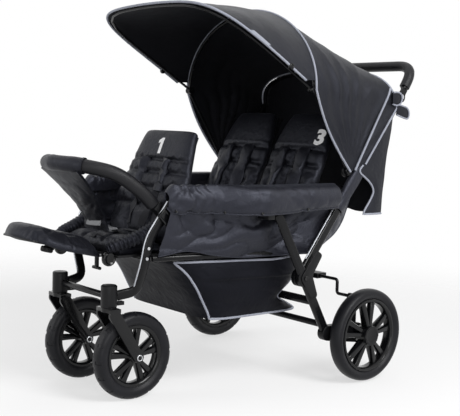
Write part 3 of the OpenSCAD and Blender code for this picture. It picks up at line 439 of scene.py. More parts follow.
class NodeBench:
    def __init__(self, name):
        self.material = bpy.data.materials.new(name)
        self.material.use_nodes = True
        self.tree = self.material.node_tree
        self.shader = self.tree.nodes["Principled BSDF"]
        self.coords = self.tree.nodes.new("ShaderNodeTexCoord")

    def node(self, kind, **settings):
        made = self.tree.nodes.new("ShaderNode" + kind)
        for key, value in settings.items():
            if key in made.inputs:
                made.inputs[key].default_value = value
            else:
                setattr(made, key, value)
        return made

    def link(self, a, b):
        self.tree.links.new(a, b)

    def textured(self, kind, space, **settings):
        made = self.node(kind, **settings)
        self.link(self.coords.outputs[space], made.inputs["Vector"])
        return made.outputs["Fac"]

    def noise(self, scale, detail=4, **more):
        return self.textured("TexNoise", "Object", Scale=scale, Detail=detail, **more)

    def wave(self, period, direction):
        return self.textured("TexWave", "UV", bands_direction=direction,
                             Scale=surfaceLook["waveScale"] / period, Distortion=surfaceLook["waveBend"])

    def ramp(self, factor, low, high):
        made = self.node("ValToRGB")
        for end, tone, share in zip(made.color_ramp.elements, (low, high), surfaceLook["rampShares"]):
            end.color = (*tone, 1)
            end.position = share
        self.link(factor, made.inputs["Fac"])
        return made.outputs["Color"]

    def spread(self, factor, low, high):
        made = self.node("MapRange", **{"To Min": low, "To Max": high})
        self.link(factor, made.inputs["Value"])
        return made.outputs["Result"]

    def sum(self, a, b):
        made = self.node("Math", operation="ADD")
        self.link(a, made.inputs[0])
        self.link(b, made.inputs[1])
        return made.outputs["Value"]

    def bumped(self, height, distance, strength=1.0, onto=None):
        made = self.node("Bump", Strength=strength, Distance=distance)
        self.link(height, made.inputs["Height"])
        if onto:
            self.link(onto, made.inputs["Normal"])
        self.link(made.outputs["Normal"], self.shader.inputs["Normal"])
        return made.outputs["Normal"]

    def toned(self, factor, dark, light, glossFactor, rough):
        self.link(self.ramp(factor, dark, light), self.shader.inputs["Base Color"])
        self.link(self.spread(glossFactor, *rough), self.shader.inputs["Roughness"])

    def set(self, **values):
        for key, value in values.items():
            self.shader.inputs[key.replace("_", " ")].default_value = value


# Woven cloth: thread ripple on the cut, soft creases, uneven dye and gloss
def wovenCloth(name, dark, light, rough, sheen, thread, crease, shine):
    look = surfaceLook
    bench = NodeBench(name)
    dye = bench.noise(look["dyeScale"], look["dyeDetail"])
    bench.toned(dye, dark, light, bench.noise(look["glossScale"]), rough)
    creases = bench.noise(look["creaseScale"], look["creaseDetail"], Distortion=look["creaseBend"])
    weave = bench.sum(bench.wave(thread, "X"), bench.wave(thread, "Y"))
    bench.bumped(weave, look["weaveDepth"], look["weaveStrength"], bench.bumped(creases, crease))
    bench.set(Sheen_Weight=sheen, Sheen_Roughness=look["sheenRough"], Sheen_Tint=look["sheenTint"],
              Specular_IOR_Level=shine, Specular_Tint=look["shineTint"])
    return bench.material


# Moulded or painted surface: fine grain, slight mottling, gloss that varies
def hardSurface(name, dark, light, rough, grain, grainScale, metal, clear, shine):
    look = surfaceLook
    bench = NodeBench(name)
    bench.toned(bench.noise(look["mottleScale"]), dark, light, bench.noise(look["hardGlossScale"]), rough)
    bench.bumped(bench.noise(grainScale, look["grainDetail"]), grain)
    bench.set(Metallic=metal, Coat_Weight=clear, Coat_Roughness=look["clearRough"], Specular_IOR_Level=shine)
    return bench.material


# Name, dark and light dye, roughness, sheen, thread, crease depth, shine; the side and basket dye levels also
# hold painted light and shade
wovenLooks = {
    "shell": ("satinShellCloth", (0.0042, 0.0043, 0.0056), (0.0072, 0.0073, 0.0094), (0.38, 0.5),
              0.03, 0.0011, 0.0016, 0.26),
    "seat": ("seatCloth", (0.0036, 0.0037, 0.0052), (0.0064, 0.0066, 0.0090), (0.36, 0.48),
             0.02, 0.0012, 0.0018, 0.23),
    # Painted light: the side cloth is a lit copy of the shell nylon, with lighter dye and more shine
    "side": ("litSideCloth", (0.0056, 0.0057, 0.0084), (0.0098, 0.0100, 0.0142), (0.34, 0.46),
             0.05, 0.0012, 0.0022, 0.38),
    "lining": ("hoodLining", (0.0036, 0.0036, 0.0042), (0.0060, 0.0060, 0.0070), (0.6, 0.74),
               0.02, 0.0012, 0.0012, 0.14),
    # Painted shade: the basket cloth's dye is darkened for the basket front, which sits in shade
    "basket": ("shadedBasketCloth", (0.0028, 0.0029, 0.0042), (0.0054, 0.0055, 0.0077), (0.40, 0.54),
               0.0, 0.0014, 0.0022, 0.11),
    "webbing": ("harnessWebbing", (0.012, 0.012, 0.013), (0.022, 0.022, 0.024), (0.5, 0.62),
                0.05, 0.0016, 0.0004, 0.2),
    "piping": ("pipingTape", (0.23, 0.24, 0.285), (0.31, 0.325, 0.375), (0.45, 0.6),
               0.1, 0.0012, 0.0003, 0.4),
}
# Name, dark and light tone, roughness, grain depth, grain scale, metal, clear coat, shine
hardLooks = {
    "foam": ("foamSkin", (0.0045, 0.0046, 0.0058), (0.0078, 0.0080, 0.0098), (0.34, 0.46),
             0.0006, 900, 0.0, 0.0, 0.24),
    "tube": ("satinTubePaint", (0.0030, 0.0031, 0.0038), (0.0052, 0.0053, 0.0062), (0.2, 0.32),
             0.00012, 420, 0.0, 0.0, 0.2),
    "plastic": ("mouldedPlastic", (0.0032, 0.0033, 0.0040), (0.0056, 0.0057, 0.0066), (0.28, 0.42),
                0.00025, 700, 0.0, 0.0, 0.2),
    "gloss": ("glossPlastic", (0.0022, 0.0023, 0.0028), (0.0040, 0.0041, 0.0048), (0.14, 0.24),
              0.0001, 300, 0.0, 0.12, 0.24),
    "tyre": ("tyreRubber", (0.0050, 0.0051, 0.0066), (0.0090, 0.0092, 0.0116), (0.32, 0.46),
             0.0004, 500, 0.0, 0.0, 0.19),
    "steel": ("boltSteel", (0.5, 0.51, 0.53), (0.62, 0.63, 0.65), (0.22, 0.36), 0.00008, 800, 1.0, 0.0, 0.5),
    # Painted highlight: silver for the strips that stand in for the tubes' shine along their front edges
    "highlightPaint": ("paintedHighlightStrip", (0.46, 0.475, 0.52), (0.58, 0.6, 0.64), (0.3, 0.42),
              0.0002, 900, 0.35, 0.0, 0.5),
    "buckle": ("buckleGrey", (0.17, 0.175, 0.185), (0.24, 0.245, 0.255), (0.3, 0.44),
               0.0002, 700, 0.0, 0.0, 0.24),
    "print": ("whitePrint", (0.78, 0.78, 0.79), (0.88, 0.88, 0.89), (0.5, 0.62), 0.0002, 900, 0.0, 0.0, 0.24),
}
finishes = {key: wovenCloth(*row) for key, row in wovenLooks.items()}
finishes.update({key: hardSurface(*row) for key, row in hardLooks.items()})
print("materials made:", len(finishes))


# Camera at the photograph's angle, in the photograph's frame of 460 by 416

viewpoint = {
    "place": (2.2384, -1.7727, 0.7653),
    "right": (0.62918, 0.77668, 0.03090),
    "up": (-0.08482, 0.02908, 0.99601),
    "ahead": (-0.77265, 0.62926, -0.08417),
    "focalPixels": 949.1,
    "imageSize": (460, 416),
    "axisPixel": (214.4, 200.8),
    "sensor": 36.0,
}


def makeCamera():
    data = bpy.data.cameras.new("photoCamera")
    camera = bpy.data.objects.new("photoCamera", data)
    scene.collection.objects.link(camera)
    width, height = viewpoint["imageSize"]
    axisX, axisY = viewpoint["axisPixel"]
    data.sensor_width = viewpoint["sensor"]
    data.lens = viewpoint["focalPixels"] * viewpoint["sensor"] / width
    data.shift_x = (width / 2 - axisX) / width
    data.shift_y = (axisY - height / 2) / width
    turn = Matrix((viewpoint["right"], viewpoint["up"], [-x for x in viewpoint["ahead"]])).transposed()
    camera.matrix_world = Matrix.Translation(viewpoint["place"]) @ turn.to_4x4()
    scene.camera = camera


makeCamera()
print("camera set")


# Studio: pale floor that fades into a white surround, one broad key and fills

studio = {
    "floorReach": 6.0, "floorCells": 8, "fadeFrom": 1.1, "fadeTo": 2.9, "floorTone": (0.93, 0.93, 0.935),
    "floorScale": 3, "floorRough": 0.9, "floorShine": 0.1, "roomLight": 0.36, "paleShare": 0.6,
    "aim": (0, 0, 0.55),
    "lamps": {
        "key": ((2.9, 0.2, 2.7), 1.6, 105),
        "front": ((-1.4, -3.2, 1.7), 1.8, 33),
        "near": ((3.4, -2.4, 1.5), 2.2, 40),
        "top": ((-0.6, 0.4, 3.8), 2.2, 14),
    },
}


# One for rays from the camera, from a glossy surface or through glass
def seenRays(tree):
    rays = tree.nodes.new("ShaderNodeLightPath")
    found = rays.outputs["Is Camera Ray"]
    for name in ("Is Glossy Ray", "Is Transmission Ray"):
        both = tree.nodes.new("ShaderNodeMath")
        both.operation = "MAXIMUM"
        tree.links.new(found, both.inputs[0])
        tree.links.new(rays.outputs[name], both.inputs[1])
        found = both.outputs["Value"]
    return found


def makeFloor():
    cells = studio["floorCells"]
    bpy.ops.mesh.primitive_grid_add(x_subdivisions=cells, y_subdivisions=cells, size=2 * studio["floorReach"])
    floor = active()
    floor.name = "studioFloor"
    bench = NodeBench("paleFloor")
    tone = bench.ramp(bench.noise(studio["floorScale"]), studio["floorTone"], studio["floorTone"])
    bench.link(tone, bench.shader.inputs["Base Color"])
    bench.set(Roughness=studio["floorRough"], Specular_IOR_Level=studio["floorShine"])
    length = bench.node("VectorMath", operation="LENGTH")
    bench.link(bench.coords.outputs["Object"], length.inputs[0])
    fade = bench.node("MapRange", interpolation_type="SMOOTHSTEP",
                      **{"From Min": studio["fadeFrom"], "From Max": studio["fadeTo"]})
    bench.link(length.outputs["Value"], fade.inputs["Value"])
    clear = bench.node("BsdfTransparent")
    blend = bench.node("MixShader")
    glow = bench.node("Emission", Strength=1.0)
    pale = bench.node("MixShader")
    bench.link(bench.spread(seenRays(bench.tree), 0.0, studio["paleShare"]), pale.inputs["Fac"])
    bench.link(bench.shader.outputs["BSDF"], pale.inputs[1])
    bench.link(glow.outputs["Emission"], pale.inputs[2])
    bench.link(fade.outputs["Result"], blend.inputs["Fac"])
    bench.link(pale.outputs["Shader"], blend.inputs[1])
    bench.link(clear.outputs["BSDF"], blend.inputs[2])
    bench.link(blend.outputs["Shader"], bench.tree.nodes["Material Output"].inputs["Surface"])
    floor.data.materials.append(bench.material)


def makeStudio():
    scene.view_settings.view_transform = "Standard"
    makeFloor()
    world = bpy.data.worlds.new("whiteRoom")
    scene.world = world
    world.use_nodes = True
    tree = world.node_tree
    back = tree.nodes["Background"]
    back.inputs["Color"].default_value = (1, 1, 1, 1)
    level = tree.nodes.new("ShaderNodeMapRange")
    level.inputs["To Min"].default_value = studio["roomLight"]
    tree.links.new(seenRays(tree), level.inputs["Value"])
    tree.links.new(level.outputs["Result"], back.inputs["Strength"])
    for name, (place, size, power) in studio["lamps"].items():
        data = bpy.data.lights.new(name + "Lamp", "AREA")
        data.size = size
        data.energy = power
        lamp = bpy.data.objects.new(name + "Lamp", data)
        scene.collection.objects.link(lamp)
        lamp.location = place
        lamp.rotation_euler = (Vector(studio["aim"]) - Vector(place)).to_track_quat("-Z", "Y").to_euler()


makeStudio()
print("studio lit")


# Frame: the CAD solids with rounded edges; finish, slot, edge, steps of the edge and nodes

keepAngle = 40
frameFinish = {
    "bars": ("tube", "tube", 0.0010, 2, [
        "upright_left", "upright_right", "front_leg_left", "front_leg_right", "arm_rail_left",
        "arm_rail_right", "seat_rails", "cross_tubes", "rear_bow", "rear_leg_left", "rear_leg_right",
        "rear_cross_tubes", "brake_bar", "handle_tube", "main_hoop", "visor_hoop", "bumper_tube"]),
    "mouldings": ("plastic", "plastic", 0.0016, 2, [
        "leg_latches", "bumper_sockets", "canopy_clamps", "front_seat_tray", "rear_seat_tray",
        "front_back_board", "rear_back_board_left", "rear_back_board_right", "footrest_board",
        "footrest_lever"]),
    "rounded": ("plastic", "plastic", 0.0045, 3, [
        "caster_housings", "axle_shoe_left", "axle_shoe_right", "brake_pedal", "swivel_lock_left",
        "swivel_lock_right"]),
    "forks": ("gloss", "plastic", 0.0034, 3, ["fork_left", "fork_right"]),
    "pins": ("steel", "steel", 0.0008, 2, ["frame_pins"]),
}


# Copy of a CAD solid with its triangles merged and its sharp edges rounded
def dress(nodeName, finish, slotName, edge, steps):
    node = nodes[nodeName]
    piece = node.copy()
    piece.data = node.data.copy()
    piece.parent = None
    for key in list(piece.keys()):
        del piece[key]
    piece.name = nodeName + "Finished"
    scene.collection.objects.link(piece)
    onlyActive(piece)
    bpy.ops.mesh.customdata_custom_splitnormals_clear()
    edited(piece, remove_doubles=dict(threshold=meshCut["merge"]),
           dissolve_limited=dict(angle_limit=radians(meshCut["flatAngle"])))
    bevelled(piece, edge, keepAngle, steps)
    coat(shaded(piece, keepAngle), finish)
    placed(piece, bodyOf[nodeName], slotName, nodeName)


for finish, slotName, edge, steps, names in frameFinish.values():
    for name in names:
        dress(name, finish, slotName, edge, steps)
print("frame dressed")


# Painted highlights: silver strips along the front edges of the uprights, front legs and rear legs, where the
# tubes catch the light

highlightStrips = {
    "radius": 0.0029, "sink": 0.0016, "tubeHalf": 0.015, "frontTubeHalf": 0.014, "steps": 8,
    "fold": (0.135, 0.323),
    "uprightHighlight": {"body": "seat_frame", "x": 0.295, "tilt": 52.8, "run": (0.055, 0.25),
                     "radiusShare": 1.0},
    "legHighlight": {"body": "rear_legs", "x": 0.312, "tilt": 120.0, "run": (0.02, 0.20), "radiusShare": 0.55},
    "frontLegRoute": [(0.141, -0.326, 0.2988), (0.178, -0.326, 0.386), (0.179, -0.317, 0.442),
                      (0.2028, -0.2646, 0.541)],
    "bendReach": 0.026,
}


def straightHighlight(kind, sideName, side):
    cut, row = highlightStrips, highlightStrips[kind]
    tilt = radians(row["tilt"])
    along = Vector((0, cos(tilt), sin(tilt)))
    ahead = Vector((0, -sin(tilt), cos(tilt)))
    start = Vector((side * row["x"], *cut["fold"])) + ahead * (cut["tubeHalf"] - cut["sink"])
    line = sampled(lambda t: start + along * mix(*row["run"], t), cut["steps"])
    placed(tube(kind + sideName, line, cut["radius"] * row["radiusShare"], "highlightPaint"), row["body"], "steel")


def frontLegHighlight(sideName, side):
    cut = highlightStrips
    route = rounded(cut["frontLegRoute"], cut["bendReach"])
    points = []
    for i, place in enumerate(route):
        along = headingAt(route, i)
        across = (Vector((1, 0, 0)) - along * along.x).normalized()
        points.append(mirrored(side, place - along.cross(across) * (cut["frontTubeHalf"] - cut["sink"])))
    placed(tube("frontLegHighlight" + sideName, points, cut["radius"], "highlightPaint"), "seat_frame", "steel")


for sideName, side in sides.items():
    straightHighlight("uprightHighlight", sideName, side)
    straightHighlight("legHighlight", sideName, side)
    frontLegHighlight(sideName, side)
print("edge strips laid")


# Wheels: turned tyres with pressed tread blocks, rims with curved twin spokes

wheelCut = {
    "rear": {"place": (0.355, 0.361, 0.140), "radius": 0.140, "rim": 0.107, "width": 0.048, "steps": 90,
             "hub": 0.026, "hubHalf": 0.023},
    "front": {"place": (0.129, -0.328, 0.120), "radius": 0.120, "rim": 0.084, "width": 0.046, "steps": 80,
              "hub": 0.018, "hubHalf": 0.023},
    "profileShares": [(0.012, 0.60), (0.06, 0.70), (0.13, 0.76), (0.16, 0.80), (0.30, 0.93), (0.45, 1.0),
                      (0.62, 0.985), (0.76, 0.91), (0.87, 0.76), (0.945, 0.56), (0.985, 0.34), (1.0, 0.12)],
    "treadShare": 0.70, "groovePitch": 5, "grooveOffsets": (0, 2), "midShare": 0.14,
    "groove": (0.0006, -0.0016), "tyreAngle": 30, "rimAngle": 38, "rimTurns": 96, "hubTurns": 48,
    "rimSteps": [(0.0005, 0.5, 0), (0.0008, 1, 0), (0.0015, 1, 0.0022), (-0.001, 1, 0.0034),
                 (-0.005, 1, 0.0026), (-0.009, 0.86, 0), (-0.010, 0.6, 0)],
    "rimWidthShare": 0.62, "axleHole": 0.0055, "hubSteps": [(-0.003, 0), (-0.0008, 0.0012), (0, 0.004)],
    "spokePairs": 5, "spokeRows": 14, "spokeAround": 12, "spokeShift": 0.25, "spokeSinks": (0.003, 0.009),
    "spokeSpread": (10.0, 12.0), "spreadPower": 0.7, "spokeWide": (0.0066, 0.0100), "spokeDeep": (0.30, 0.20),
    "spokePower": 0.6, "spokeDish": 0.004,
    "capSides": 10, "capRadius": 0.030, "capDepth": 0.010, "capOver": 0.004,
    "capInsets": [(0.007, 0), (0.0012, -0.0012)], "capEdge": (0.0014, 25),
    "boltSize": (0.0092, 0.0052), "boltOut": 0.0345,
}


# Half of a closed profile of (radius, across) pairs, mirrored and turned about an axle
def lathe(name, half, centre, steps):
    profile = half + [(r, -x) for r, x in reversed(half)]
    ring = linked(name, [centre + Vector((x, 0, r)) for r, x in profile], [])
    count = len(profile)
    ring.data.edges.add(count)
    for k in range(count):
        ring.data.edges[k].vertices = (k, (k + 1) % count)
    return edited(ring, spin=dict(steps=steps, angle=2 * pi, center=centre, axis=(1, 0, 0)),
                  select_all=dict(action="SELECT"), remove_doubles=dict(threshold=meshCut["spinMerge"]),
                  normals_make_consistent=dict(inside=False))


# Slanted grooves pressed into the tread on both sides of its middle
def pressTread(tyre, cut, centre):
    treadRadius = mix(cut["rim"], cut["radius"], wheelCut["treadShare"])
    rightOffset, leftOffset = wheelCut["grooveOffsets"]
    for face in tyre.data.polygons:
        place = face.center - centre
        turn = atan2(place.z, place.y) / (2 * pi) * cut["steps"]
        lane = place.x / (cut["width"] / 2)
        slanted = turn // 1 % wheelCut["groovePitch"] == (rightOffset if lane > 0 else leftOffset)
        face.select = (hypot(place.y, place.z) > treadRadius and slanted
                       and abs(lane) > wheelCut["midShare"])
    pressed(tyre, wheelCut["groove"])


def makeTyre(end, sideName, cut, centre):
    half = [(mix(cut["rim"], cut["radius"], a), b * cut["width"] / 2) for a, b in wheelCut["profileShares"]]
    tyre = lathe(end + "Tyre" + sideName, half, centre, cut["steps"])
    pressTread(tyre, cut, centre)
    coat(shaded(tyre, wheelCut["tyreAngle"]), "tyre")
    placed(tyre, end + "_wheel_" + sideName.lower(), "tyre", end + "_tyre_" + sideName.lower())


# Curved twin spokes, dished outwards at the hub
def makeSpokes(cut, side, centre):
    points, faces = [], []
    rows, around, pairs = wheelCut["spokeRows"], wheelCut["spokeAround"], wheelCut["spokePairs"]
    hubSink, rimSink = wheelCut["spokeSinks"]
    power = wheelCut["spokePower"]
    for pair in range(pairs):
        for arm in (-1, 1):
            faces += ringFaces(rows + 1, around, len(points))
            for t in (j / rows for j in range(rows + 1)):
                spread = radians(mix(*wheelCut["spokeSpread"], t ** wheelCut["spreadPower"]))
                turn = 2 * pi * (pair + wheelCut["spokeShift"]) / pairs + arm * spread
                out = Vector((0, cos(turn), sin(turn)))
                across = Vector((0, -sin(turn), cos(turn)))
                wide, deep = mix(*wheelCut["spokeWide"], t), mix(*wheelCut["spokeDeep"], t) * cut["width"]
                middle = centre + out * mix(cut["hub"] - hubSink, cut["rim"] - rimSink, t)
                for a in (2 * pi * k / around for k in range(around)):
                    x = powered(sin(a), power) * deep + wheelCut["spokeDish"] * (1 - t)
                    spot = middle + across * powered(cos(a), power) * wide
                    points.append(spot + Vector((side * x, 0, 0)))
    return outward(linked("spokes", points, faces))


def makeRim(end, sideName, side, cut, centre):
    half = cut["width"] * wheelCut["rimWidthShare"] / 2
    edge = [(cut["rim"] + out, half * share + across) for out, share, across in wheelCut["rimSteps"]]
    ring = lathe("ring", edge, centre, wheelCut["rimTurns"])
    hubEdge = [(cut["hub"] + out, cut["hubHalf"] - across) for out, across in wheelCut["hubSteps"]]
    hub = lathe("hub", [(wheelCut["axleHole"], cut["hubHalf"]), *hubEdge], centre, wheelCut["hubTurns"])
    rim = joined(end + "Rim" + sideName, [ring, hub, makeSpokes(cut, side, centre)])
    coat(shaded(rim, wheelCut["rimAngle"]), "gloss")
    placed(rim, end + "_wheel_" + sideName.lower(), "plastic", end + "_rim_" + sideName.lower())


# Ten-sided hub cap with a raised middle
def makeHubCap(sideName, side):
    cut, depth = wheelCut["rear"], wheelCut["capDepth"]
    cap = added(bpy.ops.mesh.primitive_cylinder_add, vertices=wheelCut["capSides"],
                radius=wheelCut["capRadius"], depth=depth, location=(0, 0, depth / 2))
    insetFaces(cap, 2, *wheelCut["capInsets"])
    bevelled(cap, *wheelCut["capEdge"])
    out = Vector((side * (cut["hubHalf"] - depth + wheelCut["capOver"]), 0, 0))
    move = Matrix.Translation(mirrored(side, cut["place"]) + out) @ Matrix.Rotation(side * pi / 2, 4, "Y")
    placed(settled(cap, "hubCap" + sideName, move, "plastic"), "rear_wheel_" + sideName.lower(), "plastic")


def makeWheels():
    for end in ("rear", "front"):
        for sideName, side in sides.items():
            cut = wheelCut[end]
            centre = mirrored(side, cut["place"])
            makeTyre(end, sideName, cut, centre)
            makeRim(end, sideName, side, cut, centre)
    for sideName, side in sides.items():
        makeHubCap(sideName, side)
        for way, label in ((1, "Out"), (-1, "In")):
            spot = mirrored(side, wheelCut["front"]["place"]) + Vector((way * wheelCut["boltOut"], 0, 0))
            bolt = stud("forkBolt" + sideName + label, spot, (way, 0, 0), wheelCut["boltSize"], "steel")
            placed(bolt, "caster_" + sideName.lower(), "steel")


makeWheels()
print("wheels made")


# Handle grip and bumper foam: smooth foam sleeves along their bars

foamCut = {
    "gripRadius": 0.016, "bumperRadius": 0.019, "spacing": 0.006, "steps": 6, "edge": (0.004, 60),
    "handleRoute": [(0.295, 0.5561, 0.8820), (0.295, 0.60348, 0.95588), (0.0, 0.60348, 0.95588)],
    "handleReach": 0.062,
    "bumperRoute": [(0.171, -0.3019, 0.5369), (0.171, -0.33305, 0.56805), (0.1505, -0.4049, 0.6213),
                    (0.0958, -0.4766, 0.6378), (0.0, -0.504, 0.640)],
    "bumperReach": 0.030, "bumperRounds": 14,
}


def barLine(route, reach):
    return evenLine(bothSides(rounded(route, reach)), foamCut["spacing"])


# Foam sleeve with rolled ends
def foamSleeve(name, line, radius, body, node):
    sleeve = bevelled(tube(name, line, radius, "foam", foamCut["steps"]), *foamCut["edge"])
    placed(shaded(sleeve, meshCut["tubeAngle"]), body, "foam", node)


handleLine = barLine(foamCut["handleRoute"], foamCut["handleReach"])
bumperLine = relaxed(barLine(foamCut["bumperRoute"], foamCut["bumperReach"]), foamCut["bumperRounds"])
foamSleeve("handleGripFoam", handleLine[1:-1], foamCut["gripRadius"], "handle", "handle_grip")
foamSleeve("bumperFoamSleeve", bumperLine, foamCut["bumperRadius"], "bumper_bar", "bumper_foam")
print("foam made")


# Swelling by cloth pressure: pinned points hold, the rest fill out and crease

swellCut = {
    "frames": 20,
    "cloth": {"quality": 4, "mass": 0.2, "use_pressure": True, "uniform_pressure_force": 4.0,
              "shrink_min": -0.05, "tension_stiffness": 12.0, "compression_stiffness": 12.0,
              "bending_stiffness": 0.35, "vertex_group_mass": "held"},
}


def swell(obj, held, cap):
    rest = np.array([v.co for v in obj.data.vertices])
    obj.vertex_groups.new(name="held").add(held, 1.0, "REPLACE")
    modifier = obj.modifiers.new("Swell", "CLOTH")
    for key, value in swellCut["cloth"].items():
        setattr(modifier.settings, key, value)
    modifier.settings.effector_weights.gravity = 0
    modifier.collision_settings.use_collision = False
    modifier.point_cache.frame_start = 1
    modifier.point_cache.frame_end = swellCut["frames"]
    for step in range(1, swellCut["frames"] + 1):
        scene.frame_set(step)
    shaped = obj.evaluated_get(bpy.context.evaluated_depsgraph_get())
    move = np.array([v.co for v in shaped.data.vertices]) - rest
    length = np.linalg.norm(move, axis=1)
    move *= np.minimum(1.0, cap / np.maximum(length, meshCut["tiny"]))[:, None]
    obj.modifiers.remove(modifier)
    obj.vertex_groups.clear()
    scene.frame_set(1)
    obj.data.vertices.foreach_set("co", (rest + move).astype(np.float32).ravel())
    obj.data.update()


# Closed pad: a back face, a front face that rises from a shared rim, and sewn lines that stay down
def quiltedPad(name, place, cut, height, held, flat):
    columns, rows = cut["grid"]
    spots = gridSpots(columns, rows)
    inner = [(i, j) for i, j in spots if 0 < i < columns and 0 < j < rows]
    shares = [(i / columns, j / rows) for i, j in spots + inner]
    front = {spot: k for k, spot in enumerate(spots)}
    back = {**front, **{spot: len(spots) + k for k, spot in enumerate(inner)}}
    points = [place(u, v, height(u, v) if k < len(spots) else 0.0) for k, (u, v) in enumerate(shares)]
    faces = gridFaces(columns, rows, front)
    faces += [(a, d, c, b) for a, b, c, d in gridFaces(columns, rows, back)]
    pad = linked(name, points, faces)
    laidCut(pad, spots + inner, columns, rows, flat)
    outward(pad)
    pins = [k for k, spot in enumerate(spots) if back[spot] == k or held(*shares[k])]
    swell(pad, pins + list(range(len(spots), len(points))), cut["cap"])
    applied(pad, "SUBSURF", levels=1, render_levels=1)
    coat(shaded(pad, meshCut["clothAngle"]), "seat")
    return pad


def rimHump(t, power):
    return 1 - abs(2 * t - 1) ** power


# Height of a pad that falls off to its rim
def padHeight(cut, u, v, fill=1.0):
    powerU, powerV = cut["rimPowers"]
    edge = sqrt(max(0.0, rimHump(u, powerU) * rimHump(v, powerV)))
    return cut["depth"] * mix(cut["rimShare"], 1, edge * fill)


backCut = {
    "front": {"x": 0.0, "hingeY": -0.222, "lean": 20.0, "length": 0.330, "half": 0.162,
              "shares": [0.86, 0.96, 1, 0.97, 0.88, 0.80, 0.73],
              "seamsU": [0.335, 0.665], "seamsV": [0.71, 0.595, 0.45, 0.30], "headFrom": 0.71},
    "rear": {"x": 0.128, "hingeY": 0.168, "lean": 25.0, "length": 0.410, "half": 0.118,
             "shares": [0.94, 0.99, 1, 1, 0.98, 0.9, 0.72],
             "seamsU": [0.26, 0.5, 0.74], "seamsV": [0.69, 0.56], "headFrom": 0.69},
    "hingeZ": 0.4078, "footGap": 0.010, "topOver": 0.012, "base": -0.0006, "depth": 0.038,
    "rimShare": 0.36, "rimPowers": (5, 6), "fillShare": 0.9, "cornerShare": 0.9, "cornerDrop": 0.005,
    "cornerPower": 8, "seamDepth": 0.42, "seamWidth": 0.022, "crossWidth": 0.0176, "seamOver": 0.01,
    "heldShare": 0.6, "headHem": 0.05, "cap": 0.008, "grid": (54, 66),
}


# Turns a point on a backrest (across, up, out) into the frame
def onBack(cut, side, across, up, out):
    lean = radians(cut["lean"])
    return Vector((side * cut["x"] + across,
                   cut["hingeY"] + up * sin(lean) - out * cos(lean),
                   backCut["hingeZ"] + up * cos(lean) + out * sin(lean)))


def sewn(cut, u, v):
    lines = [bump(v - s, backCut["crossWidth"]) for s in cut["seamsV"]]
    if v < cut["headFrom"] + backCut["seamOver"]:
        lines += [bump(u - s, backCut["seamWidth"]) for s in cut["seamsU"]]
    return max(lines)


def makeBack(name, kind, side, body, node):
    cut = backCut[kind]
    top = cut["length"] + backCut["topOver"]

    def place(u, v, out):
        across = 2 * u - 1
        corner = eased(v, backCut["cornerShare"], 1) * abs(across) ** backCut["cornerPower"]
        up = mix(backCut["footGap"], top, v) - backCut["cornerDrop"] * corner
        return onBack(cut, side, across * cut["half"] * shared(cut["shares"], v), up, backCut["base"] + out)

    def height(u, v):
        return padHeight(backCut, u, v, (1 - backCut["seamDepth"] * sewn(cut, u, v)) * backCut["fillShare"])

    def held(u, v):
        return sewn(cut, u, v) > backCut["heldShare"] or v > cut["headFrom"] + backCut["headHem"]

    pad = quiltedPad(name, place, backCut, height, held, (2 * cut["half"], top))
    return kind, side, body, placed(pad, body, "fabric", node)


backPads = {"Front": makeBack("frontBackQuilt", "front", 1, "front_backrest", "front_back_pad")}
for sideName, side in sides.items():
    low = sideName.lower()
    backPads["Rear" + sideName] = makeBack("rearBackQuilt" + sideName, "rear", side, "rear_backrest_" + low,
                                           "rear_back_pad_" + low)
print("backrests quilted")


# Seat pads: three sewn columns on each seat, the rear ones widening with the seat rails

seatCut = {
    "base": 0.4008, "depth": 0.044, "rimShare": 0.36, "rimPowers": (5, 5), "fillShare": 0.9,
    "waistShare": 0.03, "seamDepth": 0.34, "seamWidth": 0.03, "heldShare": 0.7, "cap": 0.007,
    "grid": (48, 36),
    "front": {"run": (-0.3886, -0.254), "inner": -0.1496, "outer": [(0, 0.1496), (1, 0.1496)]},
    "rear": {"run": (-0.062, 0.136), "inner": 0.006, "outer": [(-0.326, 0.1714), (0.1994, 0.2574)]},
    "seams": [0.3333, 0.6667],
}


def makeSeat(name, kind, side, node):
    cut = seatCut[kind]

    def place(u, v, out):
        y = mix(*cut["run"], v)
        outer = between(cut["outer"], y)
        waist = (outer - cut["inner"]) * seatCut["waistShare"] * humped(v)
        return Vector((side * mix(cut["inner"] + waist, outer - waist, u), y, seatCut["base"] + out))

    def seam(u):
        return max(bump(u - s, seatCut["seamWidth"]) for s in seatCut["seams"])

    def height(u, v):
        return padHeight(seatCut, u, v, (1 - seatCut["seamDepth"] * seam(u)) * seatCut["fillShare"])

    front, rear = cut["run"]
    pad = quiltedPad(name, place, seatCut, height, lambda u, v: seam(u) > seatCut["heldShare"],
                     (between(cut["outer"], rear) - cut["inner"], rear - front))
    placed(pad, "seat_frame", "fabric", node)


makeSeat("frontSeatQuilt", "front", 1, "front_seat_pad")
for sideName, side in sides.items():
    makeSeat("rearSeatQuilt" + sideName, "rear", side, "rear_seat_pad_" + sideName.lower())
print("seat pads made")


# Footrest: a tongue of padded cloth with a raised tip

footCut = {
    "hingeY": -0.408, "hingeZ": 0.3974, "rise": 13.0, "length": 0.218, "half": 0.116, "footGap": 0.010,
    "shares": [0.88, 0.98, 1.05, 1.07, 1.03, 0.93, 0.66], "base": 0.0034, "depth": 0.030, "rimShare": 0.12,
    "rimPowers": (4, 4), "tipLift": 0.010, "liftShare": 0.6, "droop": 0.016, "droopShare": 0.88,
    "droopPower": 6, "tipReach": 0.013, "tipShare": 0.8, "tipRound": 1.7, "tipPower": 1.5,
    "heldShares": (0.47, 0.5), "grid": (44, 44), "cap": 0.006,
}


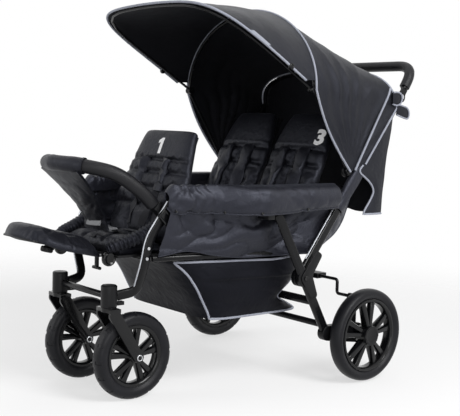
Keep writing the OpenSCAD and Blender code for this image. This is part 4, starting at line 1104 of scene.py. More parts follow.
def makeFootrest():
    cut = footCut
    rise = radians(cut["rise"])

    def place(u, v, out):
        across = 2 * u - 1
        tip = 1 - cut["tipRound"] * abs(across) ** cut["tipPower"]
        tip *= cut["tipReach"] * eased(v, cut["tipShare"], 1)
        ahead = mix(cut["footGap"], cut["length"], v) + tip
        edge = max(abs(across) ** cut["droopPower"], eased(v, cut["droopShare"], 1) ** 2)
        out += cut["base"] + cut["tipLift"] * eased(v, cut["liftShare"], 1) - cut["droop"] * edge
        return Vector((-across * cut["half"] * shared(cut["shares"], v),
                       cut["hingeY"] - ahead * cos(rise) + out * sin(rise),
                       cut["hingeZ"] + ahead * sin(rise) + out * cos(rise)))

    low, high = cut["heldShares"]
    pad = quiltedPad("footrestTongue", place, cut, partial(padHeight, cut), lambda u, v: low < v < high,
                     (2 * cut["half"], cut["length"]))
    placed(pad, "footrest", "fabric", "footrest_pad")


makeFootrest()
print("footrest made")


# Hood: one curved sheet over the main hoop and rear bow, and a visor sheet in front of it

hood = {
    "half": 0.303, "hoopY": 0.166, "hingeZ": 0.862, "topZ": 1.105, "pivotY": 0.32198, "pivotZ": 0.626,
    "archShare": 0.6, "reach": 0.384, "visorRise": 0.226, "visorPower": 5.5, "edgeShare": 0.83,
    "belly": 0.020, "bowZ": 0.820, "bowY": 0.5122, "bowRise": 0.1218, "bowLean": 0.030, "bowPower": 2.9,
    "rearHalf": 0.3075, "skirtZ": 0.648, "fold": (0.135, 0.323), "uprightTilt": 52.8,
    "middle": (0, 0.25, 0.72),
    "visorCrown": 0.007, "roofSag": 0.004, "clothThick": 0.0016, "pipeRadius": 0.0034, "pipeSteps": 160,
    "pipeOut": 0.0005, "seamSteps": 40,
    "seam": [(0.3040, 0.4830, 0.8800), (0.3080, 0.4690, 0.8540), (0.3090, 0.430, 0.790),
             (0.3085, 0.382, 0.708), (0.3080, 0.337, 0.631)],
    "knobShare": 0.50, "knobInset": 0.004, "knobSize": (0.009, 0.010),
    "tagShares": (0.372, 0.422), "tagRows": (0.015, 0.07), "tagLift": (0.0022, 0, 0.00176), "tagGrid": (8, 4),
    "fanDepth": 0.0125, "fanCount": 15.0, "fanWander": (1, 7, 7, 0), "fanSeed": 3.1, "fanBend": 3.2,
    "fanSides": (0.16, 0.28), "fanReach": 0.12, "fanShares": (0.55, 0.9), "fanLevel": 0.5,
    "fanPowers": (0.7, 0.8), "fanTopShare": 0.4, "roofRipple": (0.002, 11, 26, 5.0),
    "visorRipple": (1, 9, 12, 1.7), "visorWaves": (0.003, 0.004), "grid": (120, 44), "visorShare": 0.93,
    "roofCut": (1.75, 0.36), "visorCut": (1.3, 0.36), "tagCut": (0.045, 0.016),
    "roofBlend": ((0, 0.170, 0.9), (0, 0.4722, 0.9)), "visorBlend": ((0, 0.026, 1.0), (0, 0.162, 1.0)),
}


def archAngle(s):
    return pi / 2 * (1 - min(1.0, abs(s) / hood["archShare"]))


def skirtShare(s):
    return max(0.0, (abs(s) - hood["archShare"]) / (1 - hood["archShare"]))


def uprightY(z):
    foldY, foldZ = hood["fold"]
    return foldY + (z - foldZ) / tan(radians(hood["uprightTilt"]))


def squareReach(angle, power):
    return (abs(cos(angle)) ** power + abs(sin(angle)) ** power) ** (-1 / power)


def hoopEdge(s, inset=0.0):
    a, k = archAngle(s), skirtShare(s)
    y = mix(hood["hoopY"], hood["pivotY"], k) - hood["belly"] * humped(k)
    z = mix(hood["hingeZ"], hood["pivotZ"], k) + (hood["topZ"] - hood["hingeZ"] - inset) * sin(a)
    return Vector((signed(s) * (hood["half"] - inset) * cos(a), y, z))


def rearEdge(s):
    a, k = archAngle(s), skirtShare(s)
    if k > 0:
        z = mix(hood["bowZ"], hood["skirtZ"], k)
        return Vector((signed(s) * hood["rearHalf"], uprightY(z), z))
    q = squareReach(a, hood["bowPower"])
    return Vector((signed(s) * hood["rearHalf"] * q * cos(a), hood["bowY"] - hood["bowLean"] * sin(a),
                   hood["bowZ"] + hood["bowRise"] * q * sin(a)))


def visorEdge(s, inset=0.0):
    a = archAngle(s)
    q = squareReach(a, hood["visorPower"])
    reach = q * sin(a)
    return Vector((signed(s) * (hood["half"] - inset) * q * cos(a), hood["hoopY"] - hood["reach"] * reach,
                   hood["hingeZ"] + hood["visorRise"] * mix(sin(a), reach, hood["edgeShare"])))


# Creases that fan out from the pivot over the hood's side
def fanCrease(place, v):
    dy, dz = place.y - hood["pivotY"], place.z - hood["pivotZ"]
    wander = ripple(hood["fanWander"], place.y, place.z, hood["fanSeed"] * signed(place.x))
    fadePower, wavePower = hood["fanPowers"]
    fade = smooth(hypot(dy, dz) / hood["fanReach"]) * humped(clamp(v)) ** fadePower
    wave = abs(sin(hood["fanCount"] * atan2(dz, dy) + hood["fanBend"] * wander)) ** wavePower
    least, more = hood["fanShares"]
    return (hood["fanDepth"] * (hood["fanLevel"] - wave) * (least + more * wander)
            * eased(abs(place.x), *hood["fanSides"]) * fade)


def roofPoint(u, v):
    s = 2 * u - 1
    place = hoopEdge(s).lerp(rearEdge(s), v)
    top = sin(archAngle(s))
    place.z -= hood["roofSag"] * humped(v) * top
    crease = fanCrease(place, v)
    wave = ripple(hood["roofRipple"], place.x, place.y) * humped(v) * top
    place.x += signed(s) * crease * (1 - top)
    place.z += crease * top * hood["fanTopShare"] + wave
    return place


def visorSheetPoint(u, v):
    s = (2 * u - 1) * hood["archShare"] * hood["visorShare"]
    place = visorEdge(s).lerp(hoopEdge(s), v)
    top = sin(archAngle(s))
    wave = ripple(hood["visorRipple"], place.x, place.y)
    up, out = hood["visorWaves"]
    place.z += (hood["visorCrown"] + up * wave) * humped(v) * top
    place.x += signed(s) * out * wave * humped(v) * (1 - top)
    return place


def tagPoint(u, v):
    s = mix(*hood["tagShares"], u) / (hood["archShare"] * hood["visorShare"])
    return visorSheetPoint(0.5 + 0.5 * s, mix(*hood["tagRows"], v)) + Vector(hood["tagLift"])


def hoodPipe(name, line):
    return tube(name, line, hood["pipeRadius"], "piping")


def edgeLine(edge, span):
    return sampled(lambda t: edge(mix(-span, span, t)), hood["pipeSteps"])


def hoodSheet(name, point, grid, cut, outer, inner):
    return linedCloth(gridSheet(name, point, grid, cut), hood["middle"], hood["clothThick"], outer, inner)


def makeHood():
    roof = hoodSheet("hoodRoof", roofPoint, hood["grid"], hood["roofCut"], "shell", "lining")
    pipes = [hoodPipe("roofPipeFront", edgeLine(lambda s: hoopEdge(s, -hood["pipeOut"]), 1)),
             hoodPipe("roofPipeRear", edgeLine(rearEdge, 1))]
    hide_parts("canopy_cloth")
    for sideName, side in sides.items():
        line = sampled(lambda t: mirrored(side, threaded(hood["seam"], t)), hood["seamSteps"])
        pipes.append(hoodPipe("roofSeam" + sideName, line))
    for piece in (roof, *pipes):
        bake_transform(piece)
    visor = hoodSheet("hoodVisor", visorSheetPoint, hood["grid"], hood["visorCut"], "shell", "lining")
    edgePipe = hoodPipe("visorPipe", edgeLine(visorEdge, hood["archShare"] * hood["visorShare"]))
    tag = hoodSheet("visorTag", tagPoint, hood["tagGrid"], hood["tagCut"], "piping", "piping")
    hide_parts("visor_cloth")
    knobs = []
    for sideName, side in sides.items():
        spot = visorEdge(side * hood["knobShare"], hood["knobInset"])
        knobs.append(stud("visorKnob" + sideName, spot, (side, 0, 0), hood["knobSize"], "gloss"))
    for piece in (visor, edgePipe, tag, *knobs):
        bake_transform(piece)


makeHood()
print("hood made")


# Side cloths: a band folded over each arm rail, and a slack panel below it

sideCut = {
    "yFrom": -0.284, "yTo": 0.284, "railZ": 0.574, "seatRailZ": 0.392,
    "armRail": [(-0.262, 0.205), (-0.06, 0.256), (0.3395, 0.268)],
    "seatRail": [(-0.326, 0.182), (0.1994, 0.268)],
    "bandFoot": [0.5165, 0.5150, 0.5125, 0.5160, 0.5200, 0.5240], "bandTop": 0.5905, "coreZ": 0.554,
    "closeOut": 0.0190, "legOut": 0.3275, "outRun": (-0.16, -0.02), "backRun": (0.25, 0.284),
    "section": [(0, -0.0130, 0.046, 0), (0, -0.0150, 0.018, 0), (0, -0.007, 0.003, 0), (0, 0.008, 0, 0),
                (0.7, 0, 0.002, 0), (1, 0, 0.011, 0), (1, 0.0068, 0.026, 0), (1, 0.0085, 0, 0.62),
                (1, 0.0051, 0, 0.88), (1, 0, 0, 1)],
    "tuck": 0.007, "noseRun": (-0.284, -0.262), "noseShare": 0.5, "nosePower": 0.5,
    "gatherReach": 0.20, "gatherDepth": 0.0085, "gatherCount": 6.5, "gatherPower": 0.7, "gatherLevel": 0.6,
    "gatherWander": (0.8, 20, 30, 2.0), "gatherShares": (0, 0.2),
    "bandFolds": [((0.0045, 7, 10, 0, -3, 9, 4.0), (0.2, 0.45)),
                  ((0.0016, 22, -12, 0, 0, 30, 9.0), (0.3, 0.5))],
    "bandThick": 0.0045, "bandGrid": (150, 30), "bandCut": (0.568, 0.16), "hemSteps": 90, "bandHem": 0.00273,
    "panelFoot": [0.399, 0.410, 0.396, 0.386, 0.385, 0.386, 0.388], "panelTop": 0.566, "panelOut": 0.0125,
    "legEdge": [(0.40, -0.300), (0.53, -0.272)], "uprightGap": 0.008, "panelThick": 0.0018,
    "slackV": (0.08, 0.98, 0.7), "slackU": (0.03, 0.97, 0.4), "panelSwell": (0.019, 5, 8, 3, -3, 10, 0),
    "panelCrease": (0.0090, 11, -12, 0, 4, 15, 7.0), "panelGrid": (130, 40), "panelCut": (0.55, 0.18),
    "middle": (0, 0, 0.45),
    "wrapZ": (0.514, 0.640), "wrapHalf": (0.0118, 0.0205), "wrapX": 0.295, "wrapPower": 0.8,
    "wrapFolds": (0.0022, 0, 16, 0, 4, 0, 3.0), "wrapGrid": (40, 34), "wrapCut": (0.125, 0.16),
    "wrapMiddle": 0.577, "flapZ": (0.404, 0.600),
    "flapReach": [0.048, 0.076, 0.082, 0.074, 0.062, 0.052, 0.042], "flapX": (0.2925, 0.268),
    "flapPower": 1.6, "flapFolds": (0.004, 18, 9, 0, 0, 20, 5.0),
    "flapGrid": (20, 44), "flapCut": (0.09, 0.21), "flapMiddle": (0, 0.2, 0.45), "flapSteps": 40,
    "hemRadius": 0.0021, "snapSize": (0.0042, 0.0032), "snapYs": [-0.262, -0.13, -0.045, 0.125],
    "snapShare": 0.93, "snapSink": 0.0008,
}


def bandPoint(side, u, v):
    cut = sideCut
    y = mix(cut["yFrom"], cut["yTo"], u)
    rail, foot, top = between(cut["armRail"], y), shared(cut["bandFoot"], u), cut["bandTop"]
    close = rail + cut["closeOut"]
    out = mix(mix(close, cut["legOut"], eased(y, *cut["outRun"])), close, eased(y, *cut["backRun"]))
    gather = (y - cut["yFrom"]) / cut["gatherReach"]
    front = smooth(1 - gather)
    section = [(mix(rail, out, far) + across, mix(top, foot, low) - down)
               for far, across, down, low in cut["section"]]
    section[-1] = (out - cut["tuck"] * front, foot)
    x, z = threaded(section, v)
    nose = mix(cut["noseShare"], 1, eased(y, *cut["noseRun"]) ** cut["nosePower"])
    x, z = mix(rail, x, nose), mix(cut["coreZ"], z, nose)
    turn = gather * cut["gatherCount"] + ripple(cut["gatherWander"], y, z)
    push = (cut["gatherDepth"] * front * (abs(humped(turn)) ** cut["gatherPower"] - cut["gatherLevel"])
            * eased(v, *cut["gatherShares"]))
    for field, shares in cut["bandFolds"]:
        push += folds(field, y, z, side) * eased(v, *shares)
    away = Vector((x - rail, 0, z - cut["coreZ"])).normalized()
    return Vector((side * (x + away.x * push), y, z + away.z * push))


def panelPoint(side, u, v):
    cut = sideCut
    z = mix(shared(cut["panelFoot"], u), cut["panelTop"], v)
    y = mix(between(cut["legEdge"], z), uprightY(z) + cut["uprightGap"], u)
    rise = (z - cut["seatRailZ"]) / (cut["railZ"] - cut["seatRailZ"])
    x = mix(between(cut["seatRail"], y), between(cut["armRail"], y), rise) + cut["panelOut"]
    slack = slackAt(cut["slackV"], v) * slackAt(cut["slackU"], u)
    x += slack * (folds(cut["panelSwell"], y, z, 2 * side) + folds(cut["panelCrease"], y, z, side))
    return Vector((side * x, y, z))


# Sleeve round the upright, where the band ends
def wrapPoint(side, u, v):
    cut = sideCut
    z = mix(*cut["wrapZ"], v)
    tilt, turn = radians(hood["uprightTilt"]), 2 * pi * u
    thick, wide = (half + folds(cut["wrapFolds"], u, z, side) for half in cut["wrapHalf"])
    across = powered(cos(turn), cut["wrapPower"]) * thick
    back = powered(sin(turn), cut["wrapPower"]) * wide
    return Vector((side * (cut["wrapX"] + across), uprightY(z) + back * sin(tilt), z - back * cos(tilt)))


# Cloth that runs on behind the upright
def flapPoint(side, u, v):
    cut = sideCut
    z = mix(*cut["flapZ"], v)
    y = uprightY(z) + shared(cut["flapReach"], v) * u
    x = mix(*cut["flapX"], u ** cut["flapPower"]) + folds(cut["flapFolds"], y, z, side) * humped(u)
    return Vector((side * x, y, z))


def makeSide(sideName, side):
    cut = sideCut

    def sheet(name, point, key, middle, thick):
        grid = gridSheet(name + sideName, partial(point, side), cut[key + "Grid"], cut[key + "Cut"])
        return linedCloth(grid, middle, thick, "side", "side")

    def hem(name, point, steps, radius):
        return tube(name + sideName, sampled(point, steps), radius, "side")

    wrapZ = cut["wrapMiddle"]
    wrapMiddle = (side * cut["wrapX"], uprightY(wrapZ), wrapZ)
    wrap = sheet("uprightWrap", wrapPoint, "wrap", wrapMiddle, cut["panelThick"])
    flap = sheet("sideFlap", flapPoint, "flap", cut["flapMiddle"], cut["panelThick"])
    flapHem = hem("sideFlapHem", partial(flapPoint, side, 1), cut["flapSteps"], cut["hemRadius"])
    for piece in (wrap, flap, flapHem):
        placed(piece, "seat_frame", "fabric")
    band = sheet("railBand", bandPoint, "band", cut["middle"], cut["bandThick"])
    panel = sheet("litSideCloth", panelPoint, "panel", cut["middle"], cut["panelThick"])
    bandHem = hem("railBandHem", lambda t: bandPoint(side, t, 1), cut["hemSteps"], cut["bandHem"])
    panelHem = hem("litSideClothHem", lambda t: panelPoint(side, t, 0), cut["hemSteps"], cut["hemRadius"])
    snaps = []
    for k, y in enumerate(cut["snapYs"]):
        spot = bandPoint(side, (y - cut["yFrom"]) / (cut["yTo"] - cut["yFrom"]), cut["snapShare"])
        spot.x -= side * cut["snapSink"]
        snaps.append(stud("railSnap" + sideName + str(k), spot, (side, 0, 0), cut["snapSize"], "gloss"))
    for piece in (bandHem, panelHem, panel, *snaps):
        placed(piece, "seat_frame", "plastic" if piece in snaps else "fabric")
    placed(band, "seat_frame", "fabric", "side_panel_" + sideName.lower())


for sideName, side in sides.items():
    makeSide(sideName, side)
print("side cloths made")


# Basket: slack cloth walls hung from the seat rails, piped round each side face

basketCut = {
    "floorZ": 0.207, "topZ": 0.3776, "floorHalf": 0.205, "railGap": 0.004, "corner": 0.30, "flarePower": 0.9,
    "front": [-0.124, -0.131, -0.142, -0.155, -0.169, -0.185, -0.203, -0.226, -0.250],
    "rear": [0.238, 0.196, 0.154, 0.164, 0.186, 0.200, 0.204, 0.200, 0.190],
    "facePowers": (8, 6), "slack": (0, 1, 0.8), "bulge": 0.009, "bulgeFall": 0.5, "frontPull": 0.006,
    "wrinkle": (0.0052, 9, 8, 0, 0, 15, 0), "wrinkleLift": 2, "wrinkleSeed": 3,
    "topSag": 0.006, "sagRipple": (1, 9, 3, 3.0), "sagLevel": 0.5, "sagShares": (0.8, 1),
    "flapFrom": 0.66, "flapShares": (0.66, 0.68), "flapDepth": 0.0085,
    "floorSag": 0.007, "floorStep": 0.0015, "stepShare": 0.95,
    "floorShares": [0.97, 0.88, 0.72, 0.5, 0.25, 0.08], "around": 160, "rows": 36,
    "thick": 0.0020, "middle": (0, 0, 0.32), "cutSlant": 0.5,
    "pipeRadius": 0.0036, "cornerTurn": 45.0, "pipeSteps": (40, 24),
    "foldAnchor": (0, -0.19, 0.29), "foldKeep": 0.58,
}


def faceShare(along, across):
    alongPower, acrossPower = basketCut["facePowers"]
    return abs(along) ** alongPower * (1 - abs(across) ** acrossPower)


def basketPoint(turn, v):
    cut = basketCut
    sx, sy = powered(cos(turn), cut["corner"]), powered(sin(turn), cut["corner"])
    y = mix(shared(cut["front"], v), shared(cut["rear"], v), 0.5 + 0.5 * sy)
    half = mix(cut["floorHalf"], between(sideCut["seatRail"], y) - cut["railGap"], v ** cut["flarePower"])
    z = mix(cut["floorZ"], cut["topZ"], v)
    slack = slackAt(cut["slack"], v)
    push = cut["bulge"] * slack * (1 - v * cut["bulgeFall"])
    push += slack * folds(cut["wrinkle"], y, z, cut["wrinkleSeed"] * sx, cut["wrinkleLift"] * sx)
    push += cut["flapDepth"] * eased(v, *cut["flapShares"]) * clamp((1 - v) / (1 - cut["flapFrom"]))
    if sy < 0:
        y -= cut["frontPull"] * slack * faceShare(sy, sx)
    droop = cut["topSag"] * (ripple(cut["sagRipple"], y, sx) - cut["sagLevel"])
    z += droop * abs(sx) ** cut["facePowers"][0] * eased(v, *cut["sagShares"])
    return Vector((sx * half + signed(sx) * push * faceShare(sx, sy), y, z))


def basketPipe(sideName, side):
    acrossSteps, upSteps = basketCut["pipeSteps"]
    corner = radians(basketCut["cornerTurn"])
    turns = sampled(lambda t: mix(-corner, corner, t), acrossSteps)
    if side < 0:
        turns = [pi - t for t in turns]
    loop = [basketPoint(t, 1.0) for t in turns]
    loop += sampled(lambda t: basketPoint(turns[-1], 1 - t), upSteps)[1:]
    loop += [basketPoint(t, 0.0) for t in reversed(turns[:-1])]
    loop += sampled(lambda t: basketPoint(turns[0], t), upSteps)[1:]
    pipe = tube("basketPipe" + sideName, loop, basketCut["pipeRadius"], "piping")
    return placed(pipe, "seat_frame", "fabric")


def makeBasket():
    cut = basketCut
    around, rows = cut["around"], cut["rows"]
    turns = [2 * pi * k / around for k in range(around)]
    rings = [[basketPoint(turn, j / rows) for turn in turns] for j in range(rows, -1, -1)]
    edge = rings[-1]
    centre = sum(edge, Vector()) / around
    for share in cut["floorShares"]:
        sag = cut["floorSag"] * (1 - share) + cut["floorStep"] * (share < cut["stepShare"])
        rings.append([centre.lerp(p, share) - Vector((0, 0, sag)) for p in edge])
    bag = linked("cargoBasket", sum(rings, []), ringFaces(len(rings), around, startCap=False))
    layer = bag.data.uv_layers.new(name="cut")
    for loop in bag.data.loops:
        x, y, z = bag.data.vertices[loop.vertex_index].co
        layer.data[loop.index].uv = (x + y, z + y * cut["cutSlant"])
    linedCloth(bag, cut["middle"], cut["thick"], "basket", "basket")
    placed(bag, "seat_frame", "fabric", "basket")
    pipes = [basketPipe(sideName, side) for sideName, side in sides.items()]
    for piece in (bag, *pipes):
        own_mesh(piece)


makeBasket()
print("basket made")


# Rear curtain: hangs from the rear bow, with a gusset outside each upright

curtainCut = {
    "bowHalf": 0.300, "bowRise": 0.1175, "footZ": 0.497, "footHalf": 0.302, "footEase": 0.25, "fallEase": 1.4,
    "rearY": [(0.497, 0.462), (0.636, 0.476), (0.691, 0.486), (0.753, 0.500), (0.82, 0.509), (0.95, 0.483)],
    "waveDepth": 0.006, "waveCount": 4.5, "waveWander": (1.2, 5, 6, 2.0), "waveOut": 0.010, "waveHem": 0.003,
    "fallPowers": (0.8, 0.5), "grid": (96, 60), "flatCut": (0.62, 0.45), "middle": (0, 0, 0.7),
    "gussetFront": [(0.497, 0.384), (0.506, 0.386), (0.53, 0.407), (0.563, 0.427), (0.585, 0.416),
                    (0.600, 0.398), (0.616, 0.371), (0.628, 0.351), (0.648, 0.376), (0.82, 0.507)],
    "gussetX": 0.3065, "gussetTop": 0.815, "gussetBelly": 0.004, "gussetRipple": (0.003, 14, 14, 8.0),
    "gussetGrid": (24, 60), "gussetCut": (0.08, 0.32), "gussetMiddle": (0, 0.43, 0.65),
    "thick": 0.0016, "pipeRadius": 0.0030, "pipeRows": 28, "pipeColumns": 12, "pipeRounds": 3,
}


def curtainPoint(u, v):
    cut = curtainCut
    a = pi * (1 - u)
    q = squareReach(a, hood["bowPower"])
    topX, topZ = cut["bowHalf"] * q * cos(a), hood["bowZ"] + cut["bowRise"] * q * sin(a)
    footX = mix(-cut["footHalf"], cut["footHalf"], mix(u, smooth(u), cut["footEase"]))
    x, z = mix(topX, footX, smooth((1 - v) * cut["fallEase"])), mix(cut["footZ"], topZ, v)
    wave = sin(2 * pi * cut["waveCount"] * u + ripple(cut["waveWander"], x, z))
    downPower, acrossPower = cut["fallPowers"]
    fall = (1 - v) ** downPower * humped(u) ** acrossPower
    y = between(cut["rearY"], z) + (cut["waveDepth"] * wave + cut["waveOut"]) * fall
    return Vector((x, y, z + cut["waveHem"] * wave * (1 - v) * fall))


def gussetPoint(side, u, v):
    cut = curtainCut
    z = mix(cut["footZ"], cut["gussetTop"], v)
    y = mix(between(cut["gussetFront"], z), between(cut["rearY"], z), u)
    belly = (cut["gussetBelly"] * humped(u) + ripple(cut["gussetRipple"], y, z)) * (1 - v)
    return Vector((side * (mix(cut["gussetX"], cut["bowHalf"], v * u) + belly), y, z))


def makeCurtain():
    cut = curtainCut
    sheet = gridSheet("rearCurtain", curtainPoint, cut["grid"], cut["flatCut"])
    linedCloth(sheet, cut["middle"], cut["thick"], "shell", "lining")
    placed(sheet, "seat_frame", "fabric", "rear_curtain")
    for sideName, side in sides.items():
        gusset = gridSheet("curtainGusset" + sideName, partial(gussetPoint, side), cut["gussetGrid"],
                           cut["gussetCut"])
        linedCloth(gusset, cut["gussetMiddle"], cut["thick"], "shell", "lining")
        placed(gusset, "seat_frame", "fabric")
        columns, rows = cut["pipeColumns"], cut["gussetGrid"][1]
        front = [gussetPoint(side, 0, k / rows) for k in range(cut["pipeRows"] + 1)]
        foot = [gussetPoint(side, 1 - k / columns, 0) for k in range(columns)]
        line = foot + relaxed(front, cut["pipeRounds"])
        pipe = tube("gussetPipe" + sideName, line, cut["pipeRadius"], "piping")
        placed(pipe, "seat_frame", "fabric")


makeCurtain()
print("curtain hung")


# Bumper cover: a cloth sleeve over the bar's middle, and a crotch panel with a grey tape down to the seat

bumperCover = {
    "half": 0.097, "radius": 0.0218, "hemRadius": 0.0227, "steps": 8, "roughness": 0.0014, "roughScale": 26,
    "line": [(0, -0.496, 0.618), (0, -0.470, 0.588), (0, -0.438, 0.550), (0, -0.408, 0.514),
             (0, -0.386, 0.482), (0, -0.374, 0.454)],
    "halfWidths": [0.096, 0.088, 0.075, 0.063, 0.056, 0.060], "grid": (30, 48), "flatCut": (0.13, 0.22),
    "middle": (0, -0.3, 0.55), "panelThick": 0.007, "panelEdge": (0.0028, 60, 2),
    "wrinkle": (0.0075, 1.5, 2, 0, 0, 5.0, 6.0), "wrinkleSlack": (0, 1, 0.5), "wrinkleDir": (0, -0.8, 0.5),
    "wrap": 0.012, "wrapSlack": (0.1, 0.9, 1), "wrapDir": (0, 0.8, 0.5),
    "tapeShares": (0.24, 0.86), "tapeAt": 0.86, "tapeLift": 0.0032, "tapeAhead": (0, -0.9, 0.4),
    "tapeSteps": 10, "tapeRounds": 3, "tapeWidth": 0.016, "tapeThick": 0.0036,
}


def coverPoint(u, v):
    cut = bumperCover
    across = 2 * u - 1
    place = Vector(threaded(cut["line"], v))
    place.x = across * shared(cut["halfWidths"], v)
    bend = cut["wrap"] * across ** 2 * slackAt(cut["wrapSlack"], v)
    fold = folds(cut["wrinkle"], across, v) * slackAt(cut["wrinkleSlack"], v)
    return place + Vector(cut["wrapDir"]) * bend + Vector(cut["wrinkleDir"]) * fold


# Fine unevenness pushed along the normals
def wrinkled(obj, depth, scale):
    normals = [v.normal.copy() for v in obj.data.vertices]
    for v, n in zip(obj.data.vertices, normals):
        v.co += n * depth * noise.noise(v.co * scale)


def makeBumperCover():
    cut = bumperCover
    middle = [p for p in bumperLine if abs(p.x) < cut["half"]]
    sleeve = tube("bumperSleeve", middle, cut["radius"], "seat", cut["steps"])
    wrinkled(sleeve, cut["roughness"], cut["roughScale"])
    placed(sleeve, "bumper_bar", "fabric")
    for k, end in enumerate((middle[:2], middle[-2:])):
        hem = tube("bumperSleeveHem" + str(k), end, cut["hemRadius"], "seat", cut["steps"])
        placed(hem, "bumper_bar", "fabric")
    panel = gridSheet("crotchPanel", coverPoint, cut["grid"], cut["flatCut"])
    linedCloth(panel, cut["middle"], cut["panelThick"], "seat", "seat")
    shaded(bevelled(panel, *cut["panelEdge"]), meshCut["clothAngle"])
    ahead = Vector(cut["tapeAhead"])
    spots = sampled(lambda t: coverPoint(mix(*cut["tapeShares"], t), cut["tapeAt"]) + ahead * cut["tapeLift"],
                    cut["tapeSteps"])
    tape = ribbon("crotchTape", relaxed(spots, cut["tapeRounds"]), [ahead] * len(spots), cut["tapeWidth"],
                  cut["tapeThick"], "buckle")
    for piece in (panel, tape):
        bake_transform(piece)


makeBumperCover()
print("bumper covered")


# Ruffled rolls along both sides of the front seat

rollCut = {
    "route": [(0.128, -0.4150, 0.4180), (0.149, -0.390, 0.4315), (0.160, -0.345, 0.4470),
              (0.1645, -0.300, 0.4700), (0.1660, -0.262, 0.4950)],
    "radius": 0.0165, "ruffle": 0.0030, "count": 17.0, "wander": 1.5, "wanderScale": 40, "turnShare": 0.5,
    "probe": 0.01, "endShare": 0.45, "endShares": (0.04, 0.96), "endPower": 0.35, "grid": (20, 110),
    "flatCut": (0.11, 0.2),
}


def rollPoint(side, u, v):
    cut = rollCut
    steps = (0, cut["probe"], -cut["probe"])
    place, ahead, back = (Vector(threaded(cut["route"], clamp(v + step))) for step in steps)
    along = (ahead - back).normalized()
    across = along.cross(Vector((0, 0, 1))).normalized()
    turn = 2 * pi * u
    wander = cut["wander"] * noise.noise(place * cut["wanderScale"]) + cut["turnShare"] * sin(turn)
    ruffle = cut["ruffle"] * sin(2 * pi * cut["count"] * v + wander)
    end = humped(clamp(v, *cut["endShares"])) ** cut["endPower"]
    radius = (cut["radius"] + ruffle) * mix(cut["endShare"], 1, end)
    return mirrored(side, place + (across * cos(turn) + across.cross(along) * sin(turn)) * radius)


for sideName, side in sides.items():
    roll = gridSheet("seatRoll" + sideName, partial(rollPoint, side), rollCut["grid"], rollCut["flatCut"])
    edited(roll, remove_doubles=dict(threshold=meshCut["merge"]), fill_holes=dict(sides=0),
           normals_make_consistent=dict(inside=False))
    coat(shaded(roll, meshCut["clothAngle"]), "seat")
    placed(roll, "seat_frame", "fabric")
print("seat rolls made")


# Harness: shoulder straps with pads on each back, a buckle and short straps on each seat

harnessCut = {
    "front": {"across": 0.052, "padRun": (0.246, 0.150), "webRun": (0.180, 0.045), "width": 0.036},
    "rear": {"across": 0.046, "padRun": (0.292, 0.130), "webRun": (0.160, 0.045), "width": 0.042},
    "padThick": 0.019, "padLift": 0.004, "padSteps": 14, "webSteps": 12, "webLift": 0.0025, "webAcross": 0.03,
    "webWidth": 0.025, "webThick": 0.0022, "probe": 0.12, "rounds": 4,
    "seats": {"Front": (0.0, -0.325, -0.222), "RearLeft": (0.1195, 0.05, 0.168),
              "RearRight": (-0.1195, 0.05, 0.168)},
    "buckleZ": 0.447, "buckleSize": (0.038, 0.030, 0.011), "buckleSoft": 0.0033,
    "buckleInsets": [(0.0048, 0), (0.0008, -0.0016), (0.0012, 0.0012)], "webRise": 0.004,
    "crotchRun": (-0.060, -0.010), "crotchDip": 0.016, "crotchSteps": 8,
    "lapRun": (0.014, 0.095), "lapAhead": 0.004, "lapGap": 0.06, "lapPower": 1.3, "lapLift": 0.006,
}


# Where a line from in front of a pad meets its cloth, lifted off it
def onCloth(pad, cut, side, across, up, lift):
    start = onBack(cut, side, across, up, harnessCut["probe"])
    inward = (onBack(cut, side, across, up, 0.0) - start).normalized()
    hit, place, normal, _ = pad.ray_cast(start, inward)
    if not hit:
        place, normal = start + inward * harnessCut["probe"], -inward
    return place + normal * lift, normal


def clothTape(name, spots, width, thick, finish, body):
    line = relaxed([place for place, _ in spots], harnessCut["rounds"])
    return placed(ribbon(name, line, [normal for _, normal in spots], width, thick, finish), body, "fabric")


def makeShoulderStraps(label, kind, side, body, pad):
    cut, line = harnessCut, harnessCut[kind]
    for name, arm in arms.items():
        laid = partial(onCloth, pad, backCut[kind], side)
        spots = sampled(lambda t: laid(arm * line["across"], mix(*line["padRun"], t), cut["padLift"]),
                        cut["padSteps"])
        strap = clothTape("shoulderPad" + label + name, spots, line["width"], cut["padThick"], "seat", body)
        spots = sampled(lambda t: laid(arm * mix(line["across"], cut["webAcross"], t),
                                       mix(*line["webRun"], t), cut["webLift"]), cut["webSteps"])
        clothTape("shoulderWeb" + label + name, spots, cut["webWidth"], cut["webThick"], "webbing", body)


# Release buckle: bevelled shell with a sunk button
def makeBuckle(place):
    size = harnessCut["buckleSize"]
    piece = added(bpy.ops.mesh.primitive_cube_add, size=1, scale=size, location=(0, 0, size[2] / 2))
    softened(piece, harnessCut["buckleSoft"])
    insetFaces(piece, 2, *harnessCut["buckleInsets"])
    return settled(piece, "buckle", Matrix.Translation(place), "buckle")


def seatWeb(name, line):
    web = ribbon(name, line, [(0, 0, 1)] * len(line), harnessCut["webWidth"], harnessCut["webThick"],
                 "webbing")
    placed(web, "seat_frame", "fabric")


def makeSeatHarness():
    cut = harnessCut
    z = cut["buckleZ"] + cut["webRise"]
    buckles = []
    for label, (x, y, backY) in cut["seats"].items():
        buckles.append(makeBuckle((x, y, cut["buckleZ"])))
        seatWeb("crotchWeb" + label, sampled(
            lambda t: (x, y + mix(*cut["crotchRun"], t), z - cut["crotchDip"] * (1 - t) ** 2),
            cut["crotchSteps"]))
        for name, arm in arms.items():
            seatWeb("lapWeb" + label + name, sampled(
                lambda t: (x + arm * mix(*cut["lapRun"], t),
                           mix(y + cut["lapAhead"], backY - cut["lapGap"], t ** cut["lapPower"]),
                           z + cut["lapLift"] * humped(t)), cut["webSteps"]))
    placed(joined("harnessBuckles", buckles), "seat_frame", "plastic", "seat_buckles")


